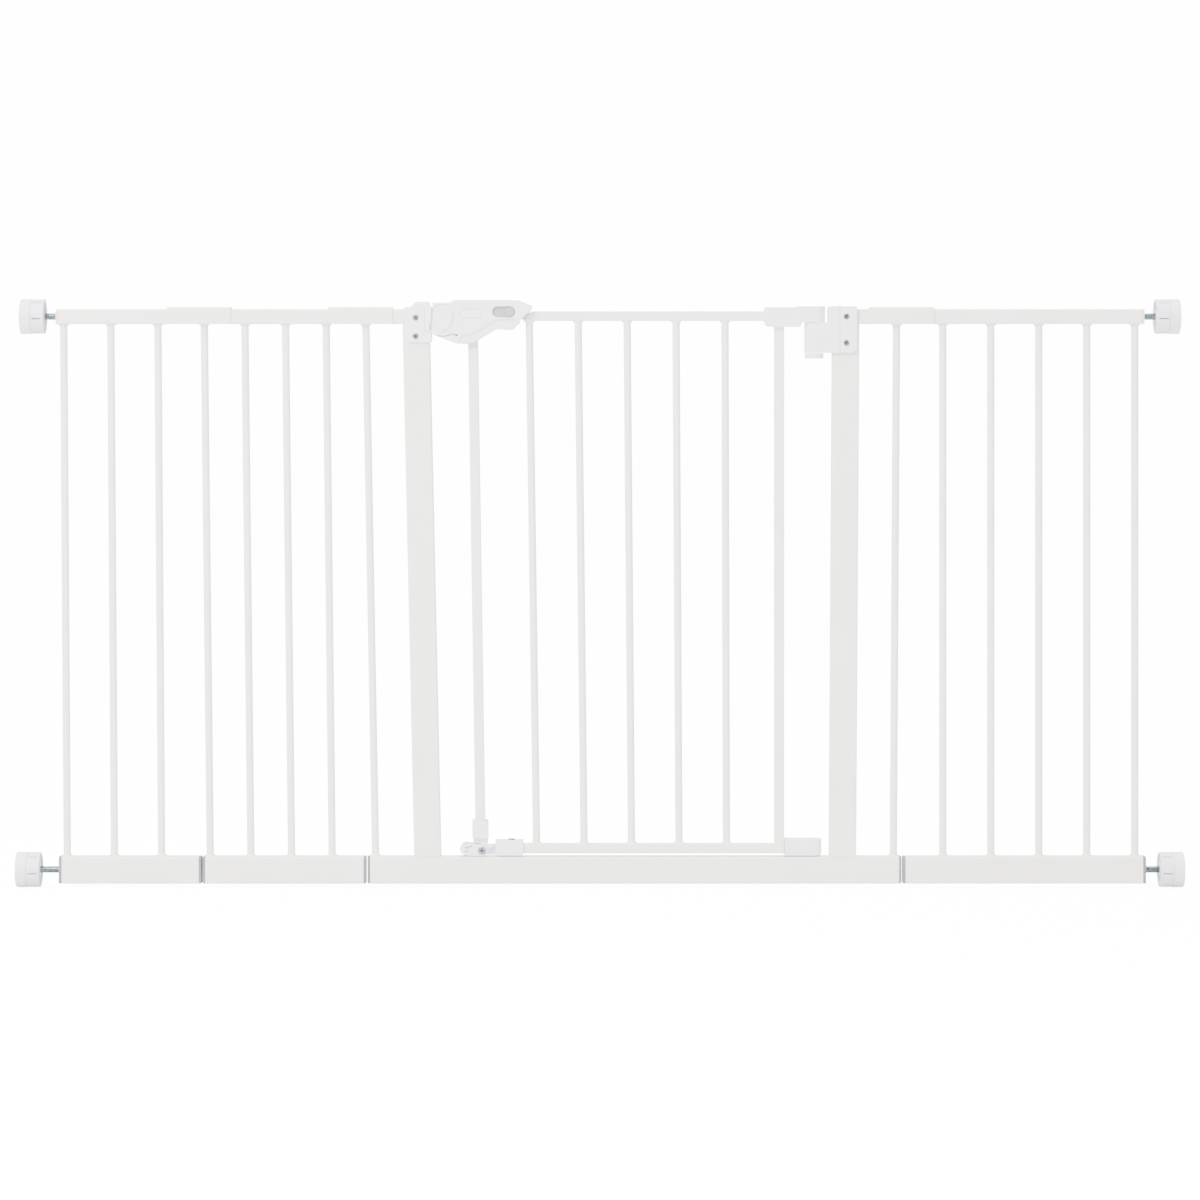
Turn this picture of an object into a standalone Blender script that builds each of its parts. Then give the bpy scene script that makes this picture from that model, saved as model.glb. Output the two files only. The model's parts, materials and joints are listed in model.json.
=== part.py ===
"""Pressure-fit safety gate with two left extension panels and one right extension panel.

Metres, +Z up. X runs along the gate's width, Y through its depth, and the origin is under the middle
of the gate, level with the lowest edge of the bottom wall cups. The front faces -Y.
"""
import math

import bmesh
import bpy
from mathutils import Matrix, Vector

GAP = 0.0003                 # clearance between pieces that touch
SLIDE = 0.0006               # clearance round pieces that slide or turn
WELD = 0.0006                # how far a welded end sinks into the wall that it is welded to
REACH = 0.001                # how far a cutter runs past the face that it opens

# Frame tube and heights
FRAME_HEIGHT = 0.760         # underside of the bottom rail to the top of the top rail
CUP_RADIUS = 0.02325
FRAME_DEPTH = 0.020
TUBE_WALL = 0.0012
BASE_RAIL_H = 0.036
TOP_RAIL_H = 0.020
POST_W = 0.036
BAR_R = 0.005
BAR_WALL = 0.0010
BAR_SIDES = 12

# Frame lengths along X
BASE_LEN = 0.6991
JOINT_GAP = 0.0087           # between two neighbouring bottom rails
LEFT_MIDDLE_LEN = 0.2092
LEFT_END_LEN = 0.1811
RIGHT_END_LEN = 0.3140
LATCH_POST_INSET = 0.0760    # post centre at the bottom rail, from the rail's left end
HINGE_POST_INSET = 0.0743    # and from its right end

# The frame stands unstressed, so its uprights splay out towards the top until it is clamped
LATCH_POST_LEAN = 0.0153
BASE_LEFT_LEAN = 0.0128
LEFT_MIDDLE_LEAN = 0.0079
LEFT_END_LEAN = 0.0048
HINGE_POST_LEAN = -0.0043
RIGHT_TOP_SETBACK = 0.0013   # right top rail's end inside the bottom rail's end

# Bars: how far a panel's first and last bar stand from its left and right end, and how many there are
BASE_BAR_INSET = 0.0068
LEFT_MIDDLE_INSETS = (0.0058, 0.0420)
LEFT_MIDDLE_BARS = 4
LEFT_END_INSETS = (0.0063, 0.0500)
LEFT_END_BARS = 3
RIGHT_END_INSETS = (0.0501, 0.0099)
RIGHT_END_BARS = 5

SLEEVE_LEN = 0.085
SLEEVE_WALL = 0.0015
SLEEVE_TOP_WALL = 0.0024
SLEEVE_SHIFT = 0.0020        # the left sleeves sit a little towards the gate

# Gate
GATE_TUBE = 0.013
GATE_TOP_DROP = 0.0093       # gate's top rail below the centre line of the frame's top
GATE_LIFT = 0.0037           # gate's bottom rail above the frame's bottom rail
AXIS_GAP = 0.0239            # hinge axis to the side of the hinge post
STILE_GAP = 0.0463           # hinge axis to the middle of the hinge stile
GATE_BARS = 5
GATE_BAR_FIRST_GAP = 0.0740  # lock bar to the first bar, at the bottom
GATE_BAR_LAST_GAP = 0.0696   # last bar to the hinge stile
GATE_BAR_LEAN = 0.0098       # of the bar nearest to the latch; it fades towards the hinge
LOCK_BAR_GAP = 0.0498        # handle's pivot to the foot of the lock bar
LOCK_BAR_LEAN = 0.0106

# Latch handle, about its pivot
KEEPER_WALL = 0.0032         # keeper's side wall, on the post
KEEPER_SIDE = 0.0036         # keeper's front and back walls, which the cover's cheeks swing past
KEEPER_GAP = 0.0012          # keeper to the handle's left edge
PIVOT_BELOW_TOP = 0.01225    # pivot below the top of the frame
PIVOT_PIN_R = 0.004
HANDLE_HALF = 0.017
HANDLE_WALL = 0.003
HANDLE_LEFT = -0.0137
HANDLE_TIP = 0.1181
SEAM_R = 0.0235              # the handle's lower left edge is an arc about the pivot
SEAM_GAP = 0.0009
BLOCK_HALF = 0.0132
BLOCK_RIGHT = 0.0295

# Upper hinge
BARREL_R = 0.0130
BARREL_WALL = 0.0030
BRACKET_DROP = 0.0581        # bracket's lower edge below the top of the frame
HINGE_PIN_R = 0.004
ARM_R = 0.0148
BRACKET_WALL = 0.0056        # bracket's side wall, on the post
BRACKET_SIDE = 0.0050        # bracket's front and back walls

# Foot latch
FOOT_PIVOT_GAP = 0.0019      # lock bar's foot to the latch foot's pivot
FOOT_PIVOT_UP = 0.0079       # above the frame's bottom rail
FOOT_HALF = 0.009
FOOT_CHEEK = 0.0044
FOOT_NOSE_R = 0.0081
FOOT_BOSS_R = 0.0072
FOOT_REACH = 0.0213
FOOT_SCREW_R = 0.0025

# Spindles
SPINDLE_R = 0.00465
SPINDLE_IN_RAIL = 0.060
SPINDLE_SHOWN = {             # bare thread between the end plug and the hand wheel
    "left_top": 0.0150,
    "left_bottom": 0.0244,
    "right_top": 0.0150,
    "right_bottom": 0.0181,
}
WHEEL_LEN = 0.0172
CUP_LEN = 0.0146
TOP_PLUG_FLANGE = 0.0030
BOTTOM_PLUG_FLANGE = 0.0038

# The origin is midway between the outer faces of the bottom cups
STACK = BOTTOM_PLUG_FLANGE + WHEEL_LEN + CUP_LEN + 2 * GAP
LEFT_LEN = LEFT_END_LEN + LEFT_MIDDLE_LEN + 2 * JOINT_GAP + STACK + SPINDLE_SHOWN["left_bottom"]
RIGHT_LEN = RIGHT_END_LEN + JOINT_GAP + STACK + SPINDLE_SHOWN["right_bottom"]
BASE_LEFT = (LEFT_LEN - RIGHT_LEN - BASE_LEN) / 2
BASE_RIGHT = BASE_LEFT + BASE_LEN
LATCH_POST_X = BASE_LEFT + LATCH_POST_INSET
HINGE_POST_X = BASE_RIGHT - HINGE_POST_INSET

BASE_Z = CUP_RADIUS - BASE_RAIL_H / 2
TOP_Z = BASE_Z + FRAME_HEIGHT
RAIL_TOP_Z = BASE_Z + BASE_RAIL_H
BAR_TOP_Z = TOP_Z - TOP_RAIL_H
HALF = FRAME_DEPTH / 2
GATE_HALF = GATE_TUBE / 2
GATE_TOP_Z = TOP_Z - GATE_TOP_DROP
GATE_BASE_Z = RAIL_TOP_Z + GATE_LIFT
PIVOT_Z = TOP_Z - PIVOT_BELOW_TOP
FOOT_Z = RAIL_TOP_Z + FOOT_PIVOT_UP
SPINDLE_TOP_Z = TOP_Z - TOP_RAIL_H / 2


def material(name, colour, rough, metal=0.0):
    """Give one finish as a Principled material."""
    found = bpy.data.materials.get(name)
    if found:
        return found
    made = bpy.data.materials.new(name)
    made.use_nodes = True
    shader = made.node_tree.nodes["Principled BSDF"]
    shader.inputs["Base Color"].default_value = (*colour, 1.0)
    shader.inputs["Roughness"].default_value = rough
    shader.inputs["Metallic"].default_value = metal
    return made


FINISHES = {
    "white_paint": ((0.86, 0.85, 0.82), 0.38, 0.0),
    "white_plastic": ((0.88, 0.88, 0.88), 0.42, 0.0),
    "grey_plastic": ((0.42, 0.43, 0.45), 0.45, 0.0),
    "light_grey_plastic": ((0.55, 0.56, 0.59), 0.40, 0.0),
    "zinc_steel": ((0.55, 0.61, 0.63), 0.30, 1.0),
    "white_rubber": ((0.84, 0.84, 0.84), 0.60, 0.0),
}


def piece(name, bm, finish):
    """Turn a bmesh into a named object of one finish, and free the bmesh."""
    bmesh.ops.recalc_face_normals(bm, faces=bm.faces)
    mesh = bpy.data.meshes.new(name)
    bm.to_mesh(mesh)
    bm.free()
    mesh.materials.append(material(finish, *FINISHES[finish]))
    made = bpy.data.objects.new(name, mesh)
    bpy.context.collection.objects.link(made)
    return made


def cutter(bm):
    """Make a hidden Boolean cutter from a bmesh."""
    made = piece("cutter", bm, "grey_plastic")
    made.hide_render = True
    made.display_type = "WIRE"
    return made


def join(target, bm, operation):
    """Add a Boolean with a hidden cutter to a piece."""
    step = target.modifiers.new(operation.lower(), "BOOLEAN")
    step.operation = operation
    step.solver = "EXACT"
    step.object = cutter(bm)
    return target


def cut(target, *shapes):
    """Cut several shapes out of a piece."""
    for shape in shapes:
        join(target, shape, "DIFFERENCE")
    return target


def fuse(target, *shapes):
    """Fuse several shapes onto a piece."""
    for shape in shapes:
        join(target, shape, "UNION")
    return target


def box(x0, x1, y0, y1, z0, z1):
    """Give a box between two corners."""
    bm = bmesh.new()
    bmesh.ops.create_cube(bm, size=1.0)
    bmesh.ops.scale(bm, vec=(x1 - x0, y1 - y0, z1 - z0), verts=bm.verts)
    bmesh.ops.translate(bm, vec=((x0 + x1) / 2, (y0 + y1) / 2, (z0 + z1) / 2), verts=bm.verts)
    return bm


def rod(radius, start, end, sides=24):
    """Give a round bar from start to end."""
    start, end = Vector(start), Vector(end)
    along = end - start
    bm = bmesh.new()
    bmesh.ops.create_cone(bm, cap_ends=True, segments=sides, radius1=radius, radius2=radius,
                          depth=along.length)
    turn = along.to_track_quat("Z", "Y").to_matrix().to_4x4()
    bmesh.ops.transform(bm, matrix=Matrix.Translation((start + end) / 2) @ turn, verts=bm.verts)
    return bm


def upright(x_low, lean, z0, z1, half_x, half_y, grow=0.0):
    """Give a rectangular tube's solid that leans by lean between the two frame rails."""
    bm = bmesh.new()
    rings = []
    for z in (z0, z1):
        x = lean_x(x_low, lean, z)
        corners = ((-1, -1), (1, -1), (1, 1), (-1, 1))
        rings.append([bm.verts.new((x + i * (half_x + grow), j * (half_y + grow), z))
                      for i, j in corners])
    close_prism(bm, rings)
    return bm


def round_upright(x_low, lean, z0, z1, radius=BAR_R, sides=BAR_SIDES):
    """Give a round bar that leans, with level ends."""
    bm = bmesh.new()
    rings = []
    for z in (z0, z1):
        x = lean_x(x_low, lean, z)
        turns = [2 * math.pi * (i + 0.5) / sides for i in range(sides)]
        rings.append([bm.verts.new((x + radius * math.cos(a), radius * math.sin(a), z)) for a in turns])
    close_prism(bm, rings)
    return bm


def close_prism(bm, rings):
    """Join two rings of corners into a closed prism."""
    low, high = rings
    count = len(low)
    bm.faces.new(low[::-1])
    bm.faces.new(high)
    for i in range(count):
        k = (i + 1) % count
        bm.faces.new((low[i], low[k], high[k], high[i]))


def lean_x(x_low, lean, z):
    """Place a leaning upright's centre at height z."""
    return x_low - lean * (z - RAIL_TOP_Z) / (BAR_TOP_Z - RAIL_TOP_Z)


def plate(outline, y0, y1):
    """Extrude an outline of (x, z) points from y0 to y1."""
    bm = bmesh.new()
    rings = [[bm.verts.new((x, y, z)) for x, z in outline] for y in (y0, y1)]
    close_prism(bm, rings)
    return bm


def floor_plate(outline, z0, z1):
    """Extrude an outline of (x, y) points from z0 to z1."""
    bm = bmesh.new()
    rings = [[bm.verts.new((x, y, z)) for x, y in outline] for z in (z0, z1)]
    close_prism(bm, rings)
    return bm


def arc(cx, cy, radius, start, end, steps):
    """List points along an arc, in degrees."""
    turns = [math.radians(start + (end - start) * i / steps) for i in range(steps + 1)]
    return [(cx + radius * math.cos(a), cy + radius * math.sin(a)) for a in turns]


def merge(*shapes):
    """Collect separate solids in one bmesh."""
    whole = bmesh.new()
    for shape in shapes:
        mesh = bpy.data.meshes.new("merge")
        shape.to_mesh(mesh)
        shape.free()
        whole.from_mesh(mesh)
        bpy.data.meshes.remove(mesh)
    return whole


def rail(x0, x1, z0, height, depth=FRAME_DEPTH, shrink=0.0, reach=0.0):
    """Give a rail's solid along X, or with shrink and reach the hollow inside it."""
    half = depth / 2 - shrink
    return box(x0 - reach, x1 + reach, -half, half, z0 + shrink, z0 + height - shrink)


def weldment(name, rails, uprights, hollows, finish="white_paint"):
    """Weld rails and uprights into one piece, then cut the hollows of its tubes."""
    made = piece(name, merge(*rails), finish)
    fuse(made, merge(*uprights))
    return cut(made, merge(*hollows))


# --- frame -------------------------------------------------------------------------------------

LEFT_MIDDLE_RIGHT = BASE_LEFT - JOINT_GAP
LEFT_MIDDLE_LEFT = LEFT_MIDDLE_RIGHT - LEFT_MIDDLE_LEN
LEFT_END_RIGHT = LEFT_MIDDLE_LEFT - JOINT_GAP
LEFT_END_LEFT = LEFT_END_RIGHT - LEFT_END_LEN
RIGHT_END_LEFT = BASE_RIGHT + JOINT_GAP
RIGHT_END_RIGHT = RIGHT_END_LEFT + RIGHT_END_LEN

# Top rails meet halfway along each bottom joint, moved by the lean of the panels beside it
INNER_JOINT_TOP = (BASE_LEFT + LEFT_MIDDLE_RIGHT) / 2 - (BASE_LEFT_LEAN + LEFT_MIDDLE_LEAN) / 2
OUTER_JOINT_TOP = (LEFT_MIDDLE_LEFT + LEFT_END_RIGHT) / 2 - (LEFT_MIDDLE_LEAN + LEFT_END_LEAN) / 2
RIGHT_JOINT_TOP = (BASE_RIGHT + RIGHT_END_LEFT) / 2
LEFT_TOP_END = LEFT_END_LEFT - LEFT_END_LEAN
RIGHT_TOP_END = RIGHT_END_RIGHT - RIGHT_TOP_SETBACK
LATCH_POST_TOP_X = lean_x(LATCH_POST_X, LATCH_POST_LEAN, TOP_Z)
HINGE_POST_TOP_X = lean_x(HINGE_POST_X, HINGE_POST_LEAN, TOP_Z)

# What hangs on the posts, from left to right
KEEPER_RIGHT = LATCH_POST_TOP_X + POST_W / 2 + KEEPER_WALL
PIVOT_X = KEEPER_RIGHT + KEEPER_GAP - HANDLE_LEFT
LOCK_BAR_X = PIVOT_X + LOCK_BAR_GAP
FOOT_PIVOT_X = LOCK_BAR_X + FOOT_PIVOT_GAP
BRACKET_LEFT = HINGE_POST_TOP_X - POST_W / 2 - BRACKET_WALL
HINGE_AXIS_X = HINGE_POST_TOP_X - POST_W / 2 - AXIS_GAP
HINGE_STILE_X = HINGE_AXIS_X - STILE_GAP
KEEPER_HALF = HALF + KEEPER_SIDE
BRACKET_HALF = HALF + BRACKET_SIDE


def post_solid(x_low, lean, grow=0.0):
    """Give a post's solid, or the space that it takes in a bracket."""
    return upright(x_low, lean, RAIL_TOP_Z - WELD, TOP_Z + grow, POST_W / 2, HALF, grow)


def post_hollow(x_low, lean):
    """Give the hollow of a post, open at its top."""
    return upright(x_low, lean, RAIL_TOP_Z + WELD, TOP_Z + REACH, POST_W / 2, HALF, -TUBE_WALL)


def bar(x_low, lean, low=RAIL_TOP_Z, high=BAR_TOP_Z):
    """Give a bar whose ends are welded into the rails below and above it."""
    return round_upright(x_low, lean, low - WELD, high + WELD)


def bar_hollow(x_low, lean, low=RAIL_TOP_Z, high=BAR_TOP_Z):
    """Give the hollow of a bar, which runs through into the hollows of the rails."""
    through = TUBE_WALL + REACH
    return round_upright(x_low, lean, low - through, high + through, BAR_R - BAR_WALL)


def side_panel(name, bottom, top, insets, count, lean):
    """Make an extension panel: a bottom rail, a top rail and the bars between them."""
    first, last = bottom[0] + insets[0], bottom[1] - insets[1]
    places = [(first + (last - first) * i / (count - 1), lean) for i in range(count)]
    rails = [rail(*bottom, BASE_Z, BASE_RAIL_H), rail(*top, BAR_TOP_Z, TOP_RAIL_H)]
    hollows = [rail(*bottom, BASE_Z, BASE_RAIL_H, shrink=TUBE_WALL, reach=REACH),
               rail(*top, BAR_TOP_Z, TOP_RAIL_H, shrink=TUBE_WALL, reach=REACH)]
    made = weldment(name, rails, [bar(*place) for place in places], hollows)
    cut(made, merge(*(bar_hollow(*place) for place in places)))


def frame():
    """Make the base frame with its two posts, and the three extension panels."""
    tops = [(INNER_JOINT_TOP + GAP / 2, LATCH_POST_TOP_X), (HINGE_POST_TOP_X, RIGHT_JOINT_TOP - GAP / 2)]
    bottom = (BASE_LEFT, BASE_RIGHT)
    posts = ((LATCH_POST_X, LATCH_POST_LEAN), (HINGE_POST_X, HINGE_POST_LEAN))
    rails = [rail(*bottom, BASE_Z, BASE_RAIL_H), *(rail(*top, BAR_TOP_Z, TOP_RAIL_H) for top in tops)]
    places = ((BASE_LEFT + BASE_BAR_INSET, BASE_LEFT_LEAN),
              (BASE_RIGHT - BASE_BAR_INSET, HINGE_POST_LEAN))
    hollows = [rail(*bottom, BASE_Z, BASE_RAIL_H, shrink=TUBE_WALL, reach=REACH)]
    hollows += [rail(*top, BAR_TOP_Z, TOP_RAIL_H, shrink=TUBE_WALL, reach=REACH) for top in tops]
    uprights = [*(bar(*place) for place in places), *(post_solid(*post) for post in posts)]
    base = weldment("base_frame", rails, uprights, hollows)
    cut(base, merge(*(post_hollow(*post) for post in posts)),
        merge(*(bar_hollow(*place) for place in places)))
    side_panel("left_middle_panel", (LEFT_MIDDLE_LEFT, LEFT_MIDDLE_RIGHT),
               (OUTER_JOINT_TOP + GAP / 2, INNER_JOINT_TOP - GAP / 2), LEFT_MIDDLE_INSETS,
               LEFT_MIDDLE_BARS, LEFT_MIDDLE_LEAN)
    side_panel("left_end_panel", (LEFT_END_LEFT, LEFT_END_RIGHT),
               (LEFT_TOP_END, OUTER_JOINT_TOP - GAP / 2), LEFT_END_INSETS, LEFT_END_BARS, LEFT_END_LEAN)
    side_panel("right_end_panel", (RIGHT_END_LEFT, RIGHT_END_RIGHT),
               (RIGHT_JOINT_TOP + GAP / 2, RIGHT_TOP_END), RIGHT_END_INSETS, RIGHT_END_BARS, 0.0)


def sleeves():
    """Make the three channels that cap the joints of the top rails, open underneath."""
    inner = HALF + GAP
    outer = inner + SLEEVE_WALL
    for name, x in (("left_outer_sleeve", OUTER_JOINT_TOP + SLEEVE_SHIFT),
                    ("left_inner_sleeve", INNER_JOINT_TOP + SLEEVE_SHIFT), ("right_sleeve", RIGHT_JOINT_TOP)):
        x0, x1 = x - SLEEVE_LEN / 2, x + SLEEVE_LEN / 2
        made = piece(name, box(x0, x1, -outer, outer, BAR_TOP_Z, TOP_Z + GAP + SLEEVE_TOP_WALL),
                     "white_paint")
        cut(made, box(x0 - REACH, x1 + REACH, -inner, inner, BAR_TOP_Z - REACH, TOP_Z + GAP))


JOINT_FLANGE = 0.0032
JOINT_TENON = 0.018


def joint_plugs():
    """Make the plugs that face each other in the three joints of the bottom rails."""
    fit = TUBE_WALL + GAP
    for joint, left_rail, right_rail in (
        ("left_outer", LEFT_END_RIGHT, LEFT_MIDDLE_LEFT),
        ("left_inner", LEFT_MIDDLE_RIGHT, BASE_LEFT),
        ("right", BASE_RIGHT, RIGHT_END_LEFT),
    ):
        for hand, edge, way in (("a", left_rail, 1), ("b", right_rail, -1)):
            flange = sorted((edge + way * GAP, edge + way * (GAP + JOINT_FLANGE)))
            tenon = sorted((edge + way * (GAP + JOINT_FLANGE / 2), edge - way * JOINT_TENON))
            plug = piece(f"{joint}_joint_plug_{hand}", box(*flange, -HALF, HALF, BASE_Z, RAIL_TOP_Z),
                         "grey_plastic")
            fuse(plug, box(*tenon, fit - HALF, HALF - fit, BASE_Z + fit, RAIL_TOP_Z - fit))


# --- wall spindles -----------------------------------------------------------------------------

NUT_LEN = 0.008
PLUG_TENON = 0.010
SPINDLE_INTO_CUP = 0.006


def spindles():
    """Make the end plugs, nuts, threaded rods, hand wheels and wall cups of the four corners."""
    for side, way in (("left", -1), ("right", 1)):
        for level in ("top", "bottom"):
            top = level == "top"
            rail_end = {("left", "top"): LEFT_TOP_END, ("left", "bottom"): LEFT_END_LEFT,
                        ("right", "top"): RIGHT_TOP_END, ("right", "bottom"): RIGHT_END_RIGHT}[side, level]
            z = SPINDLE_TOP_Z if top else CUP_RADIUS
            height = TOP_RAIL_H if top else BASE_RAIL_H
            flange = TOP_PLUG_FLANGE if top else BOTTOM_PLUG_FLANGE
            corner = f"{side}_{level}"
            end_plug(corner, rail_end, way, z, height, flange)
            end_nut(corner, rail_end, way, z)
            start = rail_end - way * SPINDLE_IN_RAIL
            wheel_in = rail_end + way * (GAP + flange + SPINDLE_SHOWN[corner])
            wheel_out = wheel_in + way * WHEEL_LEN
            cup_in = wheel_out + way * GAP
            rod_end = cup_in + way * SPINDLE_INTO_CUP
            piece(f"{corner}_spindle", rod(SPINDLE_R, (start, 0, z), (rod_end, 0, z)), "zinc_steel")
            wheel = piece(f"{corner}_hand_wheel", wheel_shape(wheel_in, wheel_out, z), "white_plastic")
            cut(wheel, rod(SPINDLE_R + GAP, (wheel_in - way * 0.001, 0, z),
                           (wheel_out + way * 0.001, 0, z)))
            cup = piece(f"{corner}_wall_cup", cup_shape(cup_in, way, z), "white_rubber")
            cut(cup, rod(SPINDLE_R + SLIDE, (cup_in - way * 0.001, 0, z), (rod_end + way * SLIDE, 0, z)))


def end_plug(corner, rail_end, way, z, height, flange):
    """Make a plug that closes a rail's end round its spindle."""
    fit = TUBE_WALL + GAP
    x = sorted((rail_end + way * GAP, rail_end + way * (GAP + flange)))
    inside = sorted((rail_end + way * flange / 2, rail_end - way * PLUG_TENON))
    made = piece(f"{corner}_end_plug", box(*x, -HALF, HALF, z - height / 2, z + height / 2), "grey_plastic")
    fuse(made, box(*inside, fit - HALF, HALF - fit, z - height / 2 + fit, z + height / 2 - fit))
    cut(made, rod(SPINDLE_R + SLIDE, (x[0] - 0.03, 0, z), (x[1] + 0.03, 0, z)))


def end_nut(corner, rail_end, way, z):
    """Make the square nut that a spindle turns in, behind its end plug."""
    deep = HALF - TUBE_WALL - GAP
    tall = TOP_RAIL_H / 2 - TUBE_WALL - GAP
    x = sorted((rail_end - way * (PLUG_TENON + GAP), rail_end - way * (PLUG_TENON + GAP + NUT_LEN)))
    made = piece(f"{corner}_nut", box(*x, -deep, deep, z - tall, z + tall), "zinc_steel")
    cut(made, rod(SPINDLE_R + SLIDE, (x[0] - 0.01, 0, z), (x[1] + 0.01, 0, z)))


WHEEL_LOBES = 12
WHEEL_LOBE_DEPTH = 0.0008


def wheel_shape(x_in, x_out, z):
    """Give a hand wheel with shallow grip lobes round it."""
    outline = []
    for i in range(2 * WHEEL_LOBES):
        radius = CUP_RADIUS - GAP - WHEEL_LOBE_DEPTH * (i % 2)
        turn = math.pi * i / WHEEL_LOBES
        outline.append((radius * math.cos(turn), z + radius * math.sin(turn)))
    bm = bmesh.new()
    rings = [[bm.verts.new((x, y, up)) for y, up in outline] for x in (x_in, x_out)]
    close_prism(bm, rings)
    return bm


def cup_shape(x_in, way, z):
    """Give a round wall cup with a wide flat face against the wall."""
    bm = rod(CUP_RADIUS, (x_in, 0, z), (x_in + way * CUP_LEN, 0, z), 32)
    edges = [e for e in bm.edges if all(abs(v.co.x - x_in) < 1e-5 for v in e.verts)]
    bmesh.ops.bevel(bm, geom=edges, offset=0.002, segments=1, affect="EDGES")
    return bm


# --- gate --------------------------------------------------------------------------------------

STILE_HALF = 0.0067
GATE_STILE_LEFT = HINGE_STILE_X - STILE_HALF
ARM_LEFT = HINGE_STILE_X - 0.0198
ARM_LOW_Z = TOP_Z - 0.0238
ARM_HIGH_Z = TOP_Z + 0.0024
ARM_STEP_X = HINGE_AXIS_X - 0.0172
ARM_HALF = GATE_HALF + 0.0060
BARREL_TOP_Z = TOP_Z - 0.0181
BLOCK_TOP_Z = RAIL_TOP_Z + 0.0234
CLAMP_LEFT = FOOT_PIVOT_X + 0.0177
CLAMP_RIGHT = CLAMP_LEFT + 0.0367
CLAMP_TOP_Z = GATE_BASE_Z + GATE_TUBE + 0.0046
CLAMP_BASE_Z = RAIL_TOP_Z + 0.0014
CLAMP_HALF = GATE_HALF + 0.0035
CLAMP_SCREW_X = CLAMP_RIGHT - 0.0157
CLAMP_SCREW_R = 0.0020
RAIL_CUT_X = PIVOT_X + 0.1044    # lower corner of the slanted end of the gate's top rail
TENON_INSET = TUBE_WALL + 2 * GAP
TENON_HALF = GATE_HALF - TENON_INSET
RAIL_HALF = 0.0065           # gate's top rail above the line that GATE_TOP_Z gives
LOWER_PIN_R = 0.0040
BLOCK_R = 0.0098


def gate_frame():
    """Make the gate's welded frame: two rails, the hinge stile and the bars."""
    low, high = GATE_TOP_Z - GATE_TUBE + RAIL_HALF, GATE_TOP_Z + RAIL_HALF
    bottom = (CLAMP_LEFT + 0.010, HINGE_STILE_X)
    outline = [(RAIL_CUT_X, low), (HINGE_STILE_X, low), (HINGE_STILE_X, high), (RAIL_CUT_X + GATE_TUBE, high)]
    rails = [plate(outline, -GATE_HALF, GATE_HALF), rail(*bottom, GATE_BASE_Z, GATE_TUBE, GATE_TUBE)]
    stile = upright(HINGE_STILE_X, 0.0, GATE_BASE_Z, high, STILE_HALF, GATE_HALF + 0.0001)
    last = HINGE_STILE_X - GATE_BAR_LAST_GAP
    pitch = (last - LOCK_BAR_X - GATE_BAR_FIRST_GAP) / (GATE_BARS - 1)
    places = []
    for i in range(GATE_BARS):
        x = last - i * pitch
        places.append((x, GATE_BAR_LEAN * (i + 1) / GATE_BARS, GATE_BASE_Z + GATE_TUBE, low))
    wall = TUBE_WALL
    hollow_right = GATE_STILE_LEFT + wall / 2
    hollows = [box(RAIL_CUT_X - REACH, hollow_right, wall - GATE_HALF, GATE_HALF - wall, low + wall,
                   high - wall),
               rail(bottom[0], hollow_right - REACH, GATE_BASE_Z, GATE_TUBE, GATE_TUBE, wall, REACH),
               upright(HINGE_STILE_X, 0.0, GATE_BASE_Z + wall, high + REACH, STILE_HALF, GATE_HALF, -wall)]
    gate = piece("gate_frame", merge(*rails), "white_paint")
    fuse(gate, merge(stile, *(bar(*place) for place in places)))
    cut(gate, *hollows, merge(*(bar_hollow(*place) for place in places)))
    return low, high


def rounded_end(x0, half, centre_x, radius):
    """Outline a flat arm in plan from x0 to a round end about a vertical axis."""
    lean = math.degrees(math.asin(half / radius))
    return [(x0, -half), *arc(centre_x, 0, radius, -lean, lean, 10), (x0, half)]


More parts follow.
